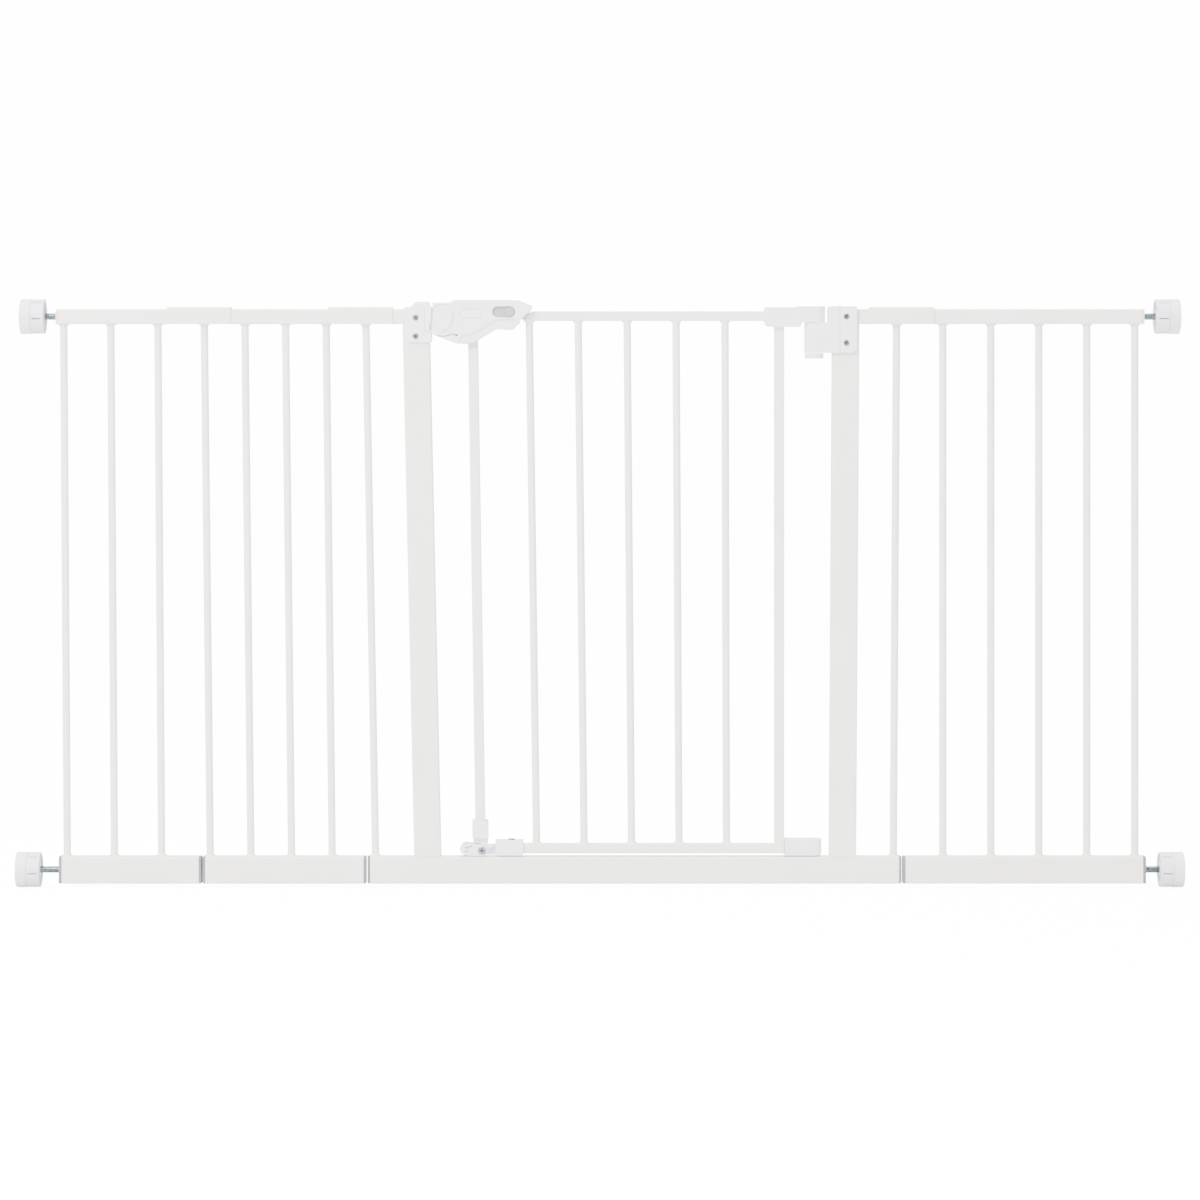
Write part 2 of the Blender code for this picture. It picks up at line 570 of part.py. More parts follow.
def upper_hinge(low, high):
    """Make the arm on the gate, the bracket on the post, the pin, its spring and the barrel's cap."""
    pin_top = ARM_HIGH_Z - 0.004
    pin_base = BARREL_TOP_Z - 0.030
    arm_half = ARM_R - 0.0004
    outline = rounded_end(ARM_STEP_X - 0.006, arm_half, HINGE_AXIS_X, ARM_R)
    arm = piece("hinge_arm", floor_plate(outline, BARREL_TOP_Z + GAP, ARM_HIGH_Z + 0.0012),
                "white_plastic")
    fuse(arm, box(ARM_LEFT, ARM_STEP_X, -ARM_HALF, ARM_HALF, ARM_LOW_Z, ARM_HIGH_Z))
    cut(arm,
        box(ARM_LEFT - REACH, GATE_STILE_LEFT, -GATE_HALF - GAP, GATE_HALF + GAP, low - GAP, high + GAP),
        box(GATE_STILE_LEFT - GAP, HINGE_STILE_X + STILE_HALF + GAP, -GATE_HALF - GAP, GATE_HALF + GAP,
            ARM_LOW_Z - REACH, high + GAP),
        rod(HINGE_PIN_R + GAP, (HINGE_AXIS_X, 0, BARREL_TOP_Z - REACH), (HINGE_AXIS_X, 0, pin_top + GAP)))
    piece("hinge_pin", rod(HINGE_PIN_R, (HINGE_AXIS_X, 0, pin_base), (HINGE_AXIS_X, 0, pin_top)),
          "zinc_steel")

    left, right = BRACKET_LEFT, HINGE_POST_TOP_X + 0.0144
    bottom = TOP_Z - BRACKET_DROP
    bracket = piece("hinge_bracket", box(left, right, -BRACKET_HALF, BRACKET_HALF, bottom, TOP_Z + 0.0038),
                    "white_plastic")
    fuse(bracket, rod(BARREL_R, (HINGE_AXIS_X, 0, bottom), (HINGE_AXIS_X, 0, BARREL_TOP_Z), 32),
         box(HINGE_AXIS_X, left + REACH, -BARREL_R, BARREL_R, bottom, BARREL_TOP_Z))
    cut(bracket, post_solid(HINGE_POST_X, HINGE_POST_LEAN, GAP),
        box(HINGE_POST_TOP_X, right + REACH, -HALF - GAP, HALF + GAP, bottom - REACH, TOP_Z + GAP),
        rod(HINGE_PIN_R + SLIDE, (HINGE_AXIS_X, 0, bottom - REACH), (HINGE_AXIS_X, 0, TOP_Z)),
        rod(BARREL_R - BARREL_WALL, (HINGE_AXIS_X, 0, bottom - REACH),
            (HINGE_AXIS_X, 0, BARREL_TOP_Z - 0.008)))
    spring(bottom + 0.0065, BARREL_TOP_Z - 0.010)
    cap = piece("hinge_barrel_cap", rod(BARREL_R - 0.0002, (HINGE_AXIS_X, 0, bottom - 0.0076),
                                        (HINGE_AXIS_X, 0, bottom - GAP), 32), "white_plastic")
    fuse(cap, rod(BARREL_R - BARREL_WALL - GAP, (HINGE_AXIS_X, 0, bottom - 0.004),
                  (HINGE_AXIS_X, 0, bottom + 0.005)))


SPRING_TURNS = 6
SPRING_WIRE_R = 0.0009
SPRING_R = 0.0068


def spring(z0, z1):
    """Make the coil spring that closes the gate, round the hinge pin in the barrel."""
    steps = SPRING_TURNS * 10
    curve = bpy.data.curves.new("hinge_spring", "CURVE")
    curve.dimensions = "3D"
    curve.bevel_depth = SPRING_WIRE_R
    curve.bevel_resolution = 1
    curve.use_fill_caps = True
    line = curve.splines.new("POLY")
    line.points.add(steps)
    for i, point in enumerate(line.points):
        turn = 2 * math.pi * i / 10
        z = z0 + (z1 - z0) * i / steps
        point.co = (HINGE_AXIS_X + SPRING_R * math.cos(turn), SPRING_R * math.sin(turn), z, 1)
    curve.materials.append(material("zinc_steel", *FINISHES["zinc_steel"]))
    bpy.context.collection.objects.link(bpy.data.objects.new("hinge_spring", curve))


def lower_hinge():
    """Make the pin on the bottom rail and the block on the gate that turns on it."""
    pin_top = BLOCK_TOP_Z - 0.005
    piece("lower_hinge_pin", rod(LOWER_PIN_R, (HINGE_AXIS_X, 0, RAIL_TOP_Z + GAP),
                                 (HINGE_AXIS_X, 0, pin_top)), "zinc_steel")
    outline = rounded_end(HINGE_STILE_X + STILE_HALF + GAP, BLOCK_R, HINGE_AXIS_X, BLOCK_R)
    block = piece("lower_hinge_block", floor_plate(outline, CLAMP_BASE_Z, BLOCK_TOP_Z), "white_plastic")
    cut(block, rod(LOWER_PIN_R + SLIDE, (HINGE_AXIS_X, 0, CLAMP_BASE_Z - REACH),
                   (HINGE_AXIS_X, 0, pin_top + SLIDE)))


# --- latch -------------------------------------------------------------------------------------

KEEPER_GROOVE = 0.0026
RIDGE_H = 0.0072             # ridge on the keeper's top, behind the handle
BOLT_LOW = -0.0165           # below the pivot
BOLT_HIGH = -0.0066
BOLT_HALF = 0.0100
BOLT_REACH = 0.0020          # into the keeper


def at_pivot(points):
    """Shift (x, z) points from the handle's pivot to the gate."""
    return [(PIVOT_X + x, PIVOT_Z + z) for x, z in points]


def seam(radius):
    """List the arc about the pivot along the handle's lower left edge."""
    start = -90 - math.degrees(math.asin(-HANDLE_LEFT / radius))
    end = -90 + math.degrees(math.asin(0.0120 / radius))
    return arc(0, 0, radius, start, end, 6)


COVER_EDGE = ((0.0266, -0.0231), (0.0351, -0.0213), (0.0451, -0.0172), (0.0621, -0.0070),
              (0.0700, -0.0031), (0.0790, -0.0014))
GRIP_EDGE = ((0.0272, -0.0248), (0.0355, -0.0228), (0.0456, -0.0187), (0.0626, -0.0085),
             (0.0705, -0.0046), (0.0793, -0.0029))
TIP_SLANT = ((0.1030, -0.0020), (0.1153, 0.0097))
SLOT_X = 0.0803
SLOT_Z = 0.0083
SLOT_LEN = 0.0300
SLOT_H = 0.0143


def handle_cover():
    """Make the handle's cover, a channel that is open underneath and turns about the pivot."""
    lower = [*seam(SEAM_R), *COVER_EDGE, *TIP_SLANT]
    upper = [(HANDLE_TIP, 0.0165), (0.0993, 0.0241), (0.0139, 0.0241), (0.0095, 0.0207),
             (HANDLE_LEFT, 0.0207)]
    cover = piece("handle_cover", plate(at_pivot(lower + upper), -HANDLE_HALF, HANDLE_HALF),
                  "white_plastic")
    inner = HANDLE_HALF - HANDLE_WALL
    hollow = [(-0.02, -0.03), (0.13, -0.03), (0.13, 0.0120), (HANDLE_TIP - 0.001, 0.0134),
              (0.0985, 0.0212), (0.0100, 0.0212), (0.0100, 0.0300), (-0.02, 0.0300)]
    cut(cover, plate(at_pivot(hollow), -inner, inner),
        rod(PIVOT_PIN_R + GAP, (PIVOT_X, -0.03, PIVOT_Z), (PIVOT_X, 0.03, PIVOT_Z)),
        plate(at_pivot(pill(SLOT_X, SLOT_Z, SLOT_LEN, SLOT_H)), -0.02, -0.012))


def pill(cx, cz, length, height):
    """Outline a slot with round ends, about its centre."""
    radius = height / 2
    reach = length / 2 - radius
    return [*arc(cx + reach, cz, radius, -90, 90, 8), *arc(cx - reach, cz, radius, 90, 270, 8)]


def handle_grip():
    """Make the finger grip under the cover: two cheeks and one web behind the lock bar."""
    lower = [(0.0224, -0.0340), (0.0334, -0.0342), (0.0400, -0.0322), (0.0469, -0.0284),
             (0.0697, -0.0145), (0.0916, -0.0157), (0.1025, -0.0045)]
    edge = [(0.1010, -0.0029), *reversed(GRIP_EDGE), (0.0247, -0.0265)]
    grip = piece("handle_grip", plate(at_pivot(lower + edge), -0.0167, 0.0167), "white_plastic")
    web_left, web_right = 0.0485, 0.0560
    cut(grip, plate(at_pivot([(0.02, -0.05), (web_left, -0.05), (web_left, 0.01), (0.02, 0.01)]),
                    -0.0138, 0.0138),
        plate(at_pivot([(web_left - 0.001, -0.0240), (web_right, -0.0194), (web_right, -0.05),
                        (0.12, -0.05), (0.12, 0.01), (web_left - 0.001, 0.01)]), -0.0138, 0.0138))


def egg(grow=0.0):
    """Outline the pivot's cap: an egg that is wider at the top."""
    points = []
    for i in range(24):
        turn = 2 * math.pi * i / 24
        wide = 0.0119 + 0.0018 * math.sin(turn)
        points.append(((wide + grow) * math.cos(turn), (0.0155 + grow) * math.sin(turn) - 0.0002))
    return points


def handle_small_parts():
    """Make the handle's pivot, the sliding safety catch and the bolt."""
    pin = piece("handle_pivot", rod(PIVOT_PIN_R, (PIVOT_X, -0.0178, PIVOT_Z), (PIVOT_X, 0.0178, PIVOT_Z)),
                "white_plastic")
    for way in (-1, 1):
        face = sorted((way * (HANDLE_HALF + GAP), way * (HANDLE_HALF + 0.0014)))
        fuse(pin, plate(at_pivot(egg()), *face))

    leaf = [(0.0633, 0.0004), (0.1030, 0.0004), (0.1030, 0.0160), (0.0633, 0.0160)]
    slider = piece("safety_slider", plate(at_pivot(leaf), -0.0137, -0.0122), "light_grey_plastic")
    radius = SLOT_H / 2 - SLIDE
    end_x = SLOT_X + SLOT_LEN / 2 - SLOT_H / 2
    knob = [(end_x - 0.0035, SLOT_Z - radius), *arc(end_x, SLOT_Z, radius, -90, 90, 8),
            (end_x - 0.0035, SLOT_Z + radius)]
    fuse(slider, plate(at_pivot(knob), -0.0182, -0.0130))

    left = KEEPER_RIGHT - PIVOT_X - BOLT_REACH
    piece("latch_bolt", plate(at_pivot([(left, BOLT_LOW), (0.0195, BOLT_LOW), (0.0195, BOLT_HIGH),
                                        (left, BOLT_HIGH)]), -BOLT_HALF, BOLT_HALF), "white_plastic")


def latch_keeper():
    """Make the cap on the latch post, whose side has a groove that takes the bolt."""
    left, bottom, top = LATCH_POST_TOP_X - 0.0150, TOP_Z - 0.0443, TOP_Z + 0.0028
    radius = 0.010
    outline = [(KEEPER_RIGHT, bottom), (KEEPER_RIGHT, top), (left, top),
               *arc(left + radius, bottom + radius, radius, 180, 270, 5)]
    keeper = piece("latch_keeper", plate(outline, -KEEPER_HALF, KEEPER_HALF), "white_plastic")
    rise = [(left + 0.0070, top - REACH), (left + 0.0141, top + RIDGE_H),
            (KEEPER_RIGHT - 0.0036, top + RIDGE_H), (KEEPER_RIGHT - 0.0020, top - REACH)]
    fuse(keeper, plate(rise, 0.0, KEEPER_HALF - 0.0025))
    cut(keeper, post_solid(LATCH_POST_X, LATCH_POST_LEAN, GAP),
        box(left - REACH, LATCH_POST_TOP_X, -HALF - GAP, HALF + GAP, bottom - REACH, TOP_Z + GAP),
        box(KEEPER_RIGHT - KEEPER_GROOVE, KEEPER_RIGHT + REACH, -KEEPER_HALF - REACH, KEEPER_HALF + REACH,
            PIVOT_Z + BOLT_LOW - SLIDE, PIVOT_Z + BOLT_HIGH + SLIDE))


def latch_housing(low, high):
    """Make the fixed block that carries the handle: it holds the pivot and the bolt."""
    top = 0.0204
    # block about the pivot
    body = [*seam(SEAM_R - SLIDE)[:-1], (0.0120, -0.0205), (BLOCK_RIGHT, -0.0205), (BLOCK_RIGHT, 0.0180),
            (0.0090, 0.0180), (0.0090, top), (HANDLE_LEFT, top)]
    housing = piece("latch_housing", plate(at_pivot(body), -BLOCK_HALF, BLOCK_HALF), "white_plastic")
    skirt = [*seam(SEAM_R + SEAM_GAP), (0.0205, -0.0244), (0.0233, -0.0268), (0.0209, -0.0340),
             (0.0191, -0.0340), (HANDLE_LEFT, -0.0215 - 0.0003)]
    fuse(housing, plate(at_pivot(skirt), -HANDLE_HALF, HANDLE_HALF),
         plate(at_pivot([(-0.0080, -0.0300), (0.0200, -0.0300), (0.0200, -0.0190), (-0.0080, -0.0190)]),
               -0.0100, 0.0100),
         box(PIVOT_X + BLOCK_RIGHT - REACH, RAIL_CUT_X - 0.006, -0.0110, 0.0110, high - 0.0050,
             high + 0.0035),
         box(PIVOT_X + BLOCK_RIGHT - REACH, RAIL_CUT_X + 0.030, -TENON_HALF, TENON_HALF, low + TENON_INSET,
             high - TENON_INSET))
    return housing


def lock_bar_parts():
    """Make the lock bar, a tube that the handle lifts, with the cap on its lower end."""
    bar_top = PIVOT_Z - 0.0110
    bar_low = FOOT_Z + 0.0190
    lock_bar = piece("lock_bar", upright(LOCK_BAR_X, LOCK_BAR_LEAN, bar_low, bar_top, STILE_HALF,
                                         GATE_HALF), "white_paint")
    cut(lock_bar, upright(LOCK_BAR_X, LOCK_BAR_LEAN, bar_low - REACH, bar_top + REACH, STILE_HALF,
                          GATE_HALF, -TUBE_WALL))
    cap_low, cap_high = FOOT_Z + 0.0165, FOOT_Z + 0.0397
    cap = piece("lock_bar_cap", upright(LOCK_BAR_X, LOCK_BAR_LEAN, cap_low, cap_high, STILE_HALF + 0.0039,
                                        CLAMP_HALF), "white_plastic")
    x = lean_x(LOCK_BAR_X, LOCK_BAR_LEAN, cap_low)
    fuse(cap, box(x - 0.0098, x + 0.0098, -FOOT_CHEEK, FOOT_CHEEK, FOOT_Z + 0.0092, cap_low + REACH))
    cut(cap, upright(LOCK_BAR_X, LOCK_BAR_LEAN, bar_low - GAP, cap_high + 0.01, STILE_HALF, GATE_HALF, GAP))


def foot_latch():
    """Make the clamp block on the gate's bottom rail, the foot that turns on it and the two screws."""
    clamp = piece("foot_bracket", box(CLAMP_LEFT, CLAMP_RIGHT, -CLAMP_HALF, CLAMP_HALF, CLAMP_BASE_Z,
                                      CLAMP_TOP_Z), "white_plastic")
    ear = [(FOOT_PIVOT_X - 0.0068, FOOT_Z - 0.0060), (CLAMP_LEFT + REACH, FOOT_Z - 0.0060),
           (CLAMP_LEFT + REACH, FOOT_Z + 0.0080), (FOOT_PIVOT_X - 0.0068, FOOT_Z + 0.0080)]
    fuse(clamp, plate(ear, -FOOT_CHEEK, FOOT_CHEEK))
    cut(clamp, box(CLAMP_LEFT + 0.010 - GAP, CLAMP_RIGHT + 0.01, -GATE_HALF - GAP, GATE_HALF + GAP,
                   GATE_BASE_Z - GAP, GATE_BASE_Z + GATE_TUBE + GAP),
        rod(FOOT_SCREW_R + GAP, (FOOT_PIVOT_X, -0.02, FOOT_Z), (FOOT_PIVOT_X, 0.02, FOOT_Z)),
        rod(CLAMP_SCREW_R + GAP, (CLAMP_SCREW_X, 0, CLAMP_TOP_Z - 0.0025),
            (CLAMP_SCREW_X, 0, CLAMP_TOP_Z + REACH)))

    boss = arc(FOOT_PIVOT_X, FOOT_Z, FOOT_BOSS_R, -90, 90, 10)
    nose = arc(FOOT_PIVOT_X - FOOT_REACH, FOOT_Z + 0.0019, FOOT_NOSE_R, 90, 270, 10)
    foot = piece("latch_foot", plate(boss + nose, -FOOT_HALF, FOOT_HALF), "white_plastic")
    cut(foot, box(FOOT_PIVOT_X - 0.0210, FOOT_PIVOT_X + 0.02, -FOOT_CHEEK - GAP, FOOT_CHEEK + GAP,
                  RAIL_TOP_Z - 0.01, RAIL_TOP_Z + 0.03),
        rod(FOOT_SCREW_R + SLIDE, (FOOT_PIVOT_X, -0.02, FOOT_Z), (FOOT_PIVOT_X, 0.02, FOOT_Z)))

    pivot = piece("foot_pivot_screw", rod(FOOT_SCREW_R, (FOOT_PIVOT_X, -0.0098, FOOT_Z),
                                          (FOOT_PIVOT_X, 0.0095, FOOT_Z), 16), "zinc_steel")
    fuse(pivot, rod(0.0054, (FOOT_PIVOT_X, -0.0108, FOOT_Z), (FOOT_PIVOT_X, -FOOT_HALF - GAP, FOOT_Z)))
    clamp_screw = piece("foot_clamp_screw", rod(CLAMP_SCREW_R, (CLAMP_SCREW_X, 0, CLAMP_TOP_Z - 0.0022),
                                                (CLAMP_SCREW_X, 0, CLAMP_TOP_Z + 0.001), 16), "zinc_steel")
    fuse(clamp_screw, rod(0.0046, (CLAMP_SCREW_X, 0, CLAMP_TOP_Z + GAP),
                          (CLAMP_SCREW_X, 0, CLAMP_TOP_Z + 0.0019)))


SCREW_HEAD_R = 0.0041
KEEPER_SCREW_DROPS = (0.0114, 0.0360)     # below the top of the frame
BRACKET_SCREW_DROPS = (0.0099, 0.0448)


def bracket_screws():
    """Make the four screws in the faces of the keeper and of the hinge bracket."""
    for name, x, half, drops in (("latch_keeper_screw", LATCH_POST_TOP_X, KEEPER_HALF, KEEPER_SCREW_DROPS),
                                 ("hinge_bracket_screw", HINGE_POST_TOP_X, BRACKET_HALF,
                                  BRACKET_SCREW_DROPS)):
        for place, drop in zip(("upper", "lower"), drops):
            z = TOP_Z - drop
            piece(f"{name}_{place}", rod(SCREW_HEAD_R, (x, -half - 0.0011, z), (x, -half - GAP, z), 16),
                  "zinc_steel")


def build():
    """Build the gate."""
    for old in list(bpy.data.objects):
        bpy.data.objects.remove(old)
    frame()
    sleeves()
    joint_plugs()
    spindles()
    low, high = gate_frame()
    upper_hinge(low, high)
    lower_hinge()
    latch_keeper()
    housing = latch_housing(low, high)
    cut(housing,
        rod(PIVOT_PIN_R + SLIDE, (PIVOT_X, -0.03, PIVOT_Z), (PIVOT_X, 0.03, PIVOT_Z)),
        box(PIVOT_X - 0.03, PIVOT_X + 0.0265, -BOLT_HALF - SLIDE, BOLT_HALF + SLIDE,
            PIVOT_Z + BOLT_LOW - SLIDE, PIVOT_Z + BOLT_HIGH + SLIDE))
    handle_cover()
    handle_grip()
    handle_small_parts()
    lock_bar_parts()
    foot_latch()
    bracket_screws()


build()
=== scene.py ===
import json
import math

import bmesh
import bpy
from mathutils import Matrix, Vector


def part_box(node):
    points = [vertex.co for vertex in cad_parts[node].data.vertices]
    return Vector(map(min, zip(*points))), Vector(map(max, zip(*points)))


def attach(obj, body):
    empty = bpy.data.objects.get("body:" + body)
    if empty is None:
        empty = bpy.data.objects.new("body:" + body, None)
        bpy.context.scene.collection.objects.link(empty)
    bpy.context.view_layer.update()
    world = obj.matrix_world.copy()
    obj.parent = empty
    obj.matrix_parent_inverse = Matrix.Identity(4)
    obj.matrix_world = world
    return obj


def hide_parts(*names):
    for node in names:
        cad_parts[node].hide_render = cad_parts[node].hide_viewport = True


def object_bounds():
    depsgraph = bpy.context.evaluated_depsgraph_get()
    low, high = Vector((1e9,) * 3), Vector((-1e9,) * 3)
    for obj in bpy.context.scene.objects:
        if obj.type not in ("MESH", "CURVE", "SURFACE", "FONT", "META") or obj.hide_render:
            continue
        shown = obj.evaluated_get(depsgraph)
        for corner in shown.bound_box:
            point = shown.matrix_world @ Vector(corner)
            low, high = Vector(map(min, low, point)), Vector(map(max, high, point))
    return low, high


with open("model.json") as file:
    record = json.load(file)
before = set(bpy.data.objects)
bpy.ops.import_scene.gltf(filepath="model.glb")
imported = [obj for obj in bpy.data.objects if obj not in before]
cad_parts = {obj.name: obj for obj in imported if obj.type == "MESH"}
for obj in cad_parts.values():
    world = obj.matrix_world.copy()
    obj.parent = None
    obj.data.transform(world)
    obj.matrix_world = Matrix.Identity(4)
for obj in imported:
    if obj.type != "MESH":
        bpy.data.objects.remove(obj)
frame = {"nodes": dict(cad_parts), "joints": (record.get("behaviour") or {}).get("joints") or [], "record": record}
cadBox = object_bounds()
record = frame["record"]
joints = {joint["name"]: joint for joint in frame["joints"]}
bodyOf = {node: body for body, nodes in record["behaviour"]["bodies"].items() for node in nodes}
hair = 0.0001  # a tenth of a millimetre: how near counts as on a face, and the least overlap
print("frame loaded,", len(frame["nodes"]), "nodes")


def deselectAll():
    if bpy.context.object and bpy.context.object.mode == "EDIT":
        bpy.ops.object.mode_set(mode="OBJECT")
    bpy.ops.object.select_all(action="DESELECT")


def makeActive(piece):
    deselectAll()
    piece.select_set(True)
    bpy.context.view_layer.objects.active = piece


def startEdit(piece, kind="EDGE"):
    makeActive(piece)
    bpy.ops.object.mode_set(mode="EDIT")
    bpy.ops.mesh.select_mode(type=kind)
    bpy.ops.mesh.select_all(action="DESELECT")


def pickFaces(piece, test):  # test gets a face's middle and its normal
    mesh = bmesh.from_edit_mesh(piece.data)
    for face in mesh.faces:
        face.select_set(bool(test(face.calc_center_median(), face.normal)))
    mesh.select_flush_mode()
    bmesh.update_edit_mesh(piece.data)


def pickEdges(piece, test):  # test gets an edge's middle and its direction
    mesh = bmesh.from_edit_mesh(piece.data)
    for edge in mesh.edges:
        a, b = (vert.co for vert in edge.verts)
        edge.select_set(bool(test((a + b) / 2, (b - a).normalized())))
    mesh.select_flush_mode()
    bmesh.update_edit_mesh(piece.data)


def endEdit():
    bpy.ops.object.mode_set(mode="OBJECT")


def pullOut(amount):  # extrudes the picked faces outwards, or inwards where the amount is negative
    bpy.ops.mesh.extrude_region_shrink_fatten(TRANSFORM_OT_shrink_fatten={"value": amount})


def settle(name):  # the place goes into the mesh, and the object sits at the origin
    piece = bpy.context.object
    piece.name = name
    piece.data.name = name
    bpy.ops.object.transform_apply(location=True, rotation=True, scale=True)
    return piece


def addBlock(name, low, high):
    deselectAll()
    low, high = Vector(low), Vector(high)
    bpy.ops.mesh.primitive_cube_add(size=1, location=(low + high) / 2, scale=high - low)
    return settle(name)


def addRound(name, start, end, radius, sides=48):
    deselectAll()
    start, end = Vector(start), Vector(end)
    along = end - start
    bpy.ops.mesh.primitive_cylinder_add(vertices=sides, radius=radius, depth=along.length,
                                        location=(start + end) / 2,
                                        rotation=along.to_track_quat("Z", "Y").to_euler())
    return settle(name)


def roundEdges(piece, test, width, segments=5):
    startEdit(piece)
    pickEdges(piece, test)
    bpy.ops.mesh.bevel(offset=width, segments=segments, affect="EDGES", clamp_overlap=False)
    endEdit()


def soften(piece, width, segments=3, angle=38):  # a small round on every sharp edge
    makeActive(piece)
    step = piece.modifiers.new("soften", "BEVEL")
    step.width = width
    step.segments = segments
    step.limit_method = "ANGLE"
    step.angle_limit = math.radians(angle)
    step.use_clamp_overlap = False
    bpy.ops.object.modifier_apply(modifier=step.name)


def cutWith(piece, *cutters):
    for cutter in cutters:
        makeActive(piece)
        step = piece.modifiers.new("cut", "BOOLEAN")
        step.operation = "DIFFERENCE"
        step.solver = "EXACT"
        step.object = cutter
        bpy.ops.object.modifier_apply(modifier=step.name)
        bpy.data.objects.remove(cutter)


def joinPieces(first, *others):
    makeActive(first)
    for other in others:
        other.select_set(True)
    bpy.ops.object.join()
    return first


def cleanShell(node, name):  # a copy of a CAD node with whole flat faces, ready for rounding
    made = bpy.data.objects.new(name, frame["nodes"][node].data.copy())
    made.data.materials.clear()
    bpy.context.scene.collection.objects.link(made)
    startEdit(made)
    bpy.ops.mesh.select_all(action="SELECT")
    bpy.ops.mesh.remove_doubles(threshold=0.00001)
    bpy.ops.mesh.dissolve_limited(angle_limit=math.radians(0.6))
    endEdit()
    return made


def finishPiece(piece, finish, *nodes, angle=38):
    makeActive(piece)
    bpy.ops.object.shade_smooth_by_angle(angle=math.radians(angle))
    step = piece.modifiers.new("flatten", "WEIGHTED_NORMAL")
    step.keep_sharp = True
    bpy.ops.object.modifier_apply(modifier=step.name)
    if not piece.data.materials:
        piece.data.materials.append(finishes[finish])
    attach(piece, bodyOf[nodes[0]])
    return piece


def standFor(piece, finish, *nodes, angle=38):
    finishPiece(piece, finish, *nodes, angle=angle)
    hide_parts(*nodes)
    return piece


def startFinish(name):
    made = bpy.data.materials.new(name)
    made.use_nodes = True
    tree = made.node_tree
    place = tree.nodes.new("ShaderNodeTexCoord").outputs["Object"]
    return made, tree, tree.nodes["Principled BSDF"], place


def addNoise(tree, place, scale, detail=2.0, stretch=(1, 1, 1)):
    mapping = tree.nodes.new("ShaderNodeMapping")
    mapping.inputs["Scale"].default_value = stretch
    noise = tree.nodes.new("ShaderNodeTexNoise")
    noise.inputs["Scale"].default_value = scale
    noise.inputs["Detail"].default_value = detail
    tree.links.new(place, mapping.inputs["Vector"])
    tree.links.new(mapping.outputs["Vector"], noise.inputs["Vector"])
    return noise.outputs["Fac"]


def addRange(tree, value, low, high, start=0.3, end=0.7):
    node = tree.nodes.new("ShaderNodeMapRange")
    for socket, number in (("From Min", start), ("From Max", end), ("To Min", low), ("To Max", high)):
        node.inputs[socket].default_value = number
    tree.links.new(value, node.inputs["Value"])
    return node.outputs["Result"]


def addTint(tree, value, dark, light):
    ramp = tree.nodes.new("ShaderNodeValToRGB")
    ramp.color_ramp.elements[0].position = 0.32
    ramp.color_ramp.elements[1].position = 0.68
    ramp.color_ramp.elements[0].color = (*dark, 1)
    ramp.color_ramp.elements[1].color = (*light, 1)
    tree.links.new(value, ramp.inputs["Fac"])
    return ramp.outputs["Color"]


def addBump(tree, shader, *layers):  # layers of height and depth in metres, laid on each other
    below = None
    for height, depth in layers:
        bump = tree.nodes.new("ShaderNodeBump")
        bump.inputs["Strength"].default_value = 1.0
        bump.inputs["Distance"].default_value = depth
        tree.links.new(height, bump.inputs["Height"])
        if below:
            tree.links.new(below, bump.inputs["Normal"])
        below = bump.outputs["Normal"]
    tree.links.new(below, shader.inputs["Normal"])


powderLook = {"dark": (0.795, 0.780, 0.695), "light": (0.852, 0.838, 0.760), "peelScale": 620,
              "peelDepth": 0.00004, "grainScale": 3200, "grainDepth": 0.000006, "cloudScale": 9,
              "wearScale": 70, "smooth": 0.34, "rough": 0.46, "coat": 0.22, "coatRough": 0.28}


def powderCoat():  # satin powder paint with a fine orange peel
    made, tree, shader, place = startFinish("powderCoat")
    cloud = addNoise(tree, place, powderLook["cloudScale"], 4)
    peel = addNoise(tree, place, powderLook["peelScale"], 1)
    grain = addNoise(tree, place, powderLook["grainScale"], 2)
    tree.links.new(addTint(tree, cloud, powderLook["dark"], powderLook["light"]), shader.inputs["Base Color"])
    wear = addNoise(tree, place, powderLook["wearScale"], 3)
    gloss = addRange(tree, wear, powderLook["smooth"], powderLook["rough"])
    tree.links.new(gloss, shader.inputs["Roughness"])
    shader.inputs["Coat Weight"].default_value = powderLook["coat"]
    shader.inputs["Coat Roughness"].default_value = powderLook["coatRough"]
    addBump(tree, shader, (peel, powderLook["peelDepth"]), (grain, powderLook["grainDepth"]))
    return made


def mouldedPlastic(name, dark, light, smooth, rough, grainDepth=0.000012):  # spark-eroded tool texture
    made, tree, shader, place = startFinish(name)
    flow = addNoise(tree, place, 22, 3, (1, 1, 2.4))
    cells = tree.nodes.new("ShaderNodeTexVoronoi")
    cells.inputs["Scale"].default_value = 2300
    tree.links.new(place, cells.inputs["Vector"])
    waves = addNoise(tree, place, 160, 2)
    tree.links.new(addTint(tree, flow, dark, light), shader.inputs["Base Color"])
    tree.links.new(addRange(tree, addNoise(tree, place, 240, 3), smooth, rough), shader.inputs["Roughness"])
    addBump(tree, shader, (waves, 0.00003), (cells.outputs["Distance"], grainDepth))
    return made


# bright blue zinc, its drawing marks stretched along the bar
def zincPlate(name, stretch, dark=(0.085, 0.11, 0.125), light=(0.20, 0.245, 0.265)):
    made, tree, shader, place = startFinish(name)
    shader.inputs["Metallic"].default_value = 1.0
    blotch = addNoise(tree, place, 190, 4)
    marks = addNoise(tree, place, 900, 3, stretch)
    tree.links.new(addTint(tree, blotch, dark, light), shader.inputs["Base Color"])
    tree.links.new(addRange(tree, marks, 0.20, 0.40), shader.inputs["Roughness"])
    addBump(tree, shader, (marks, 0.00002))
    return made


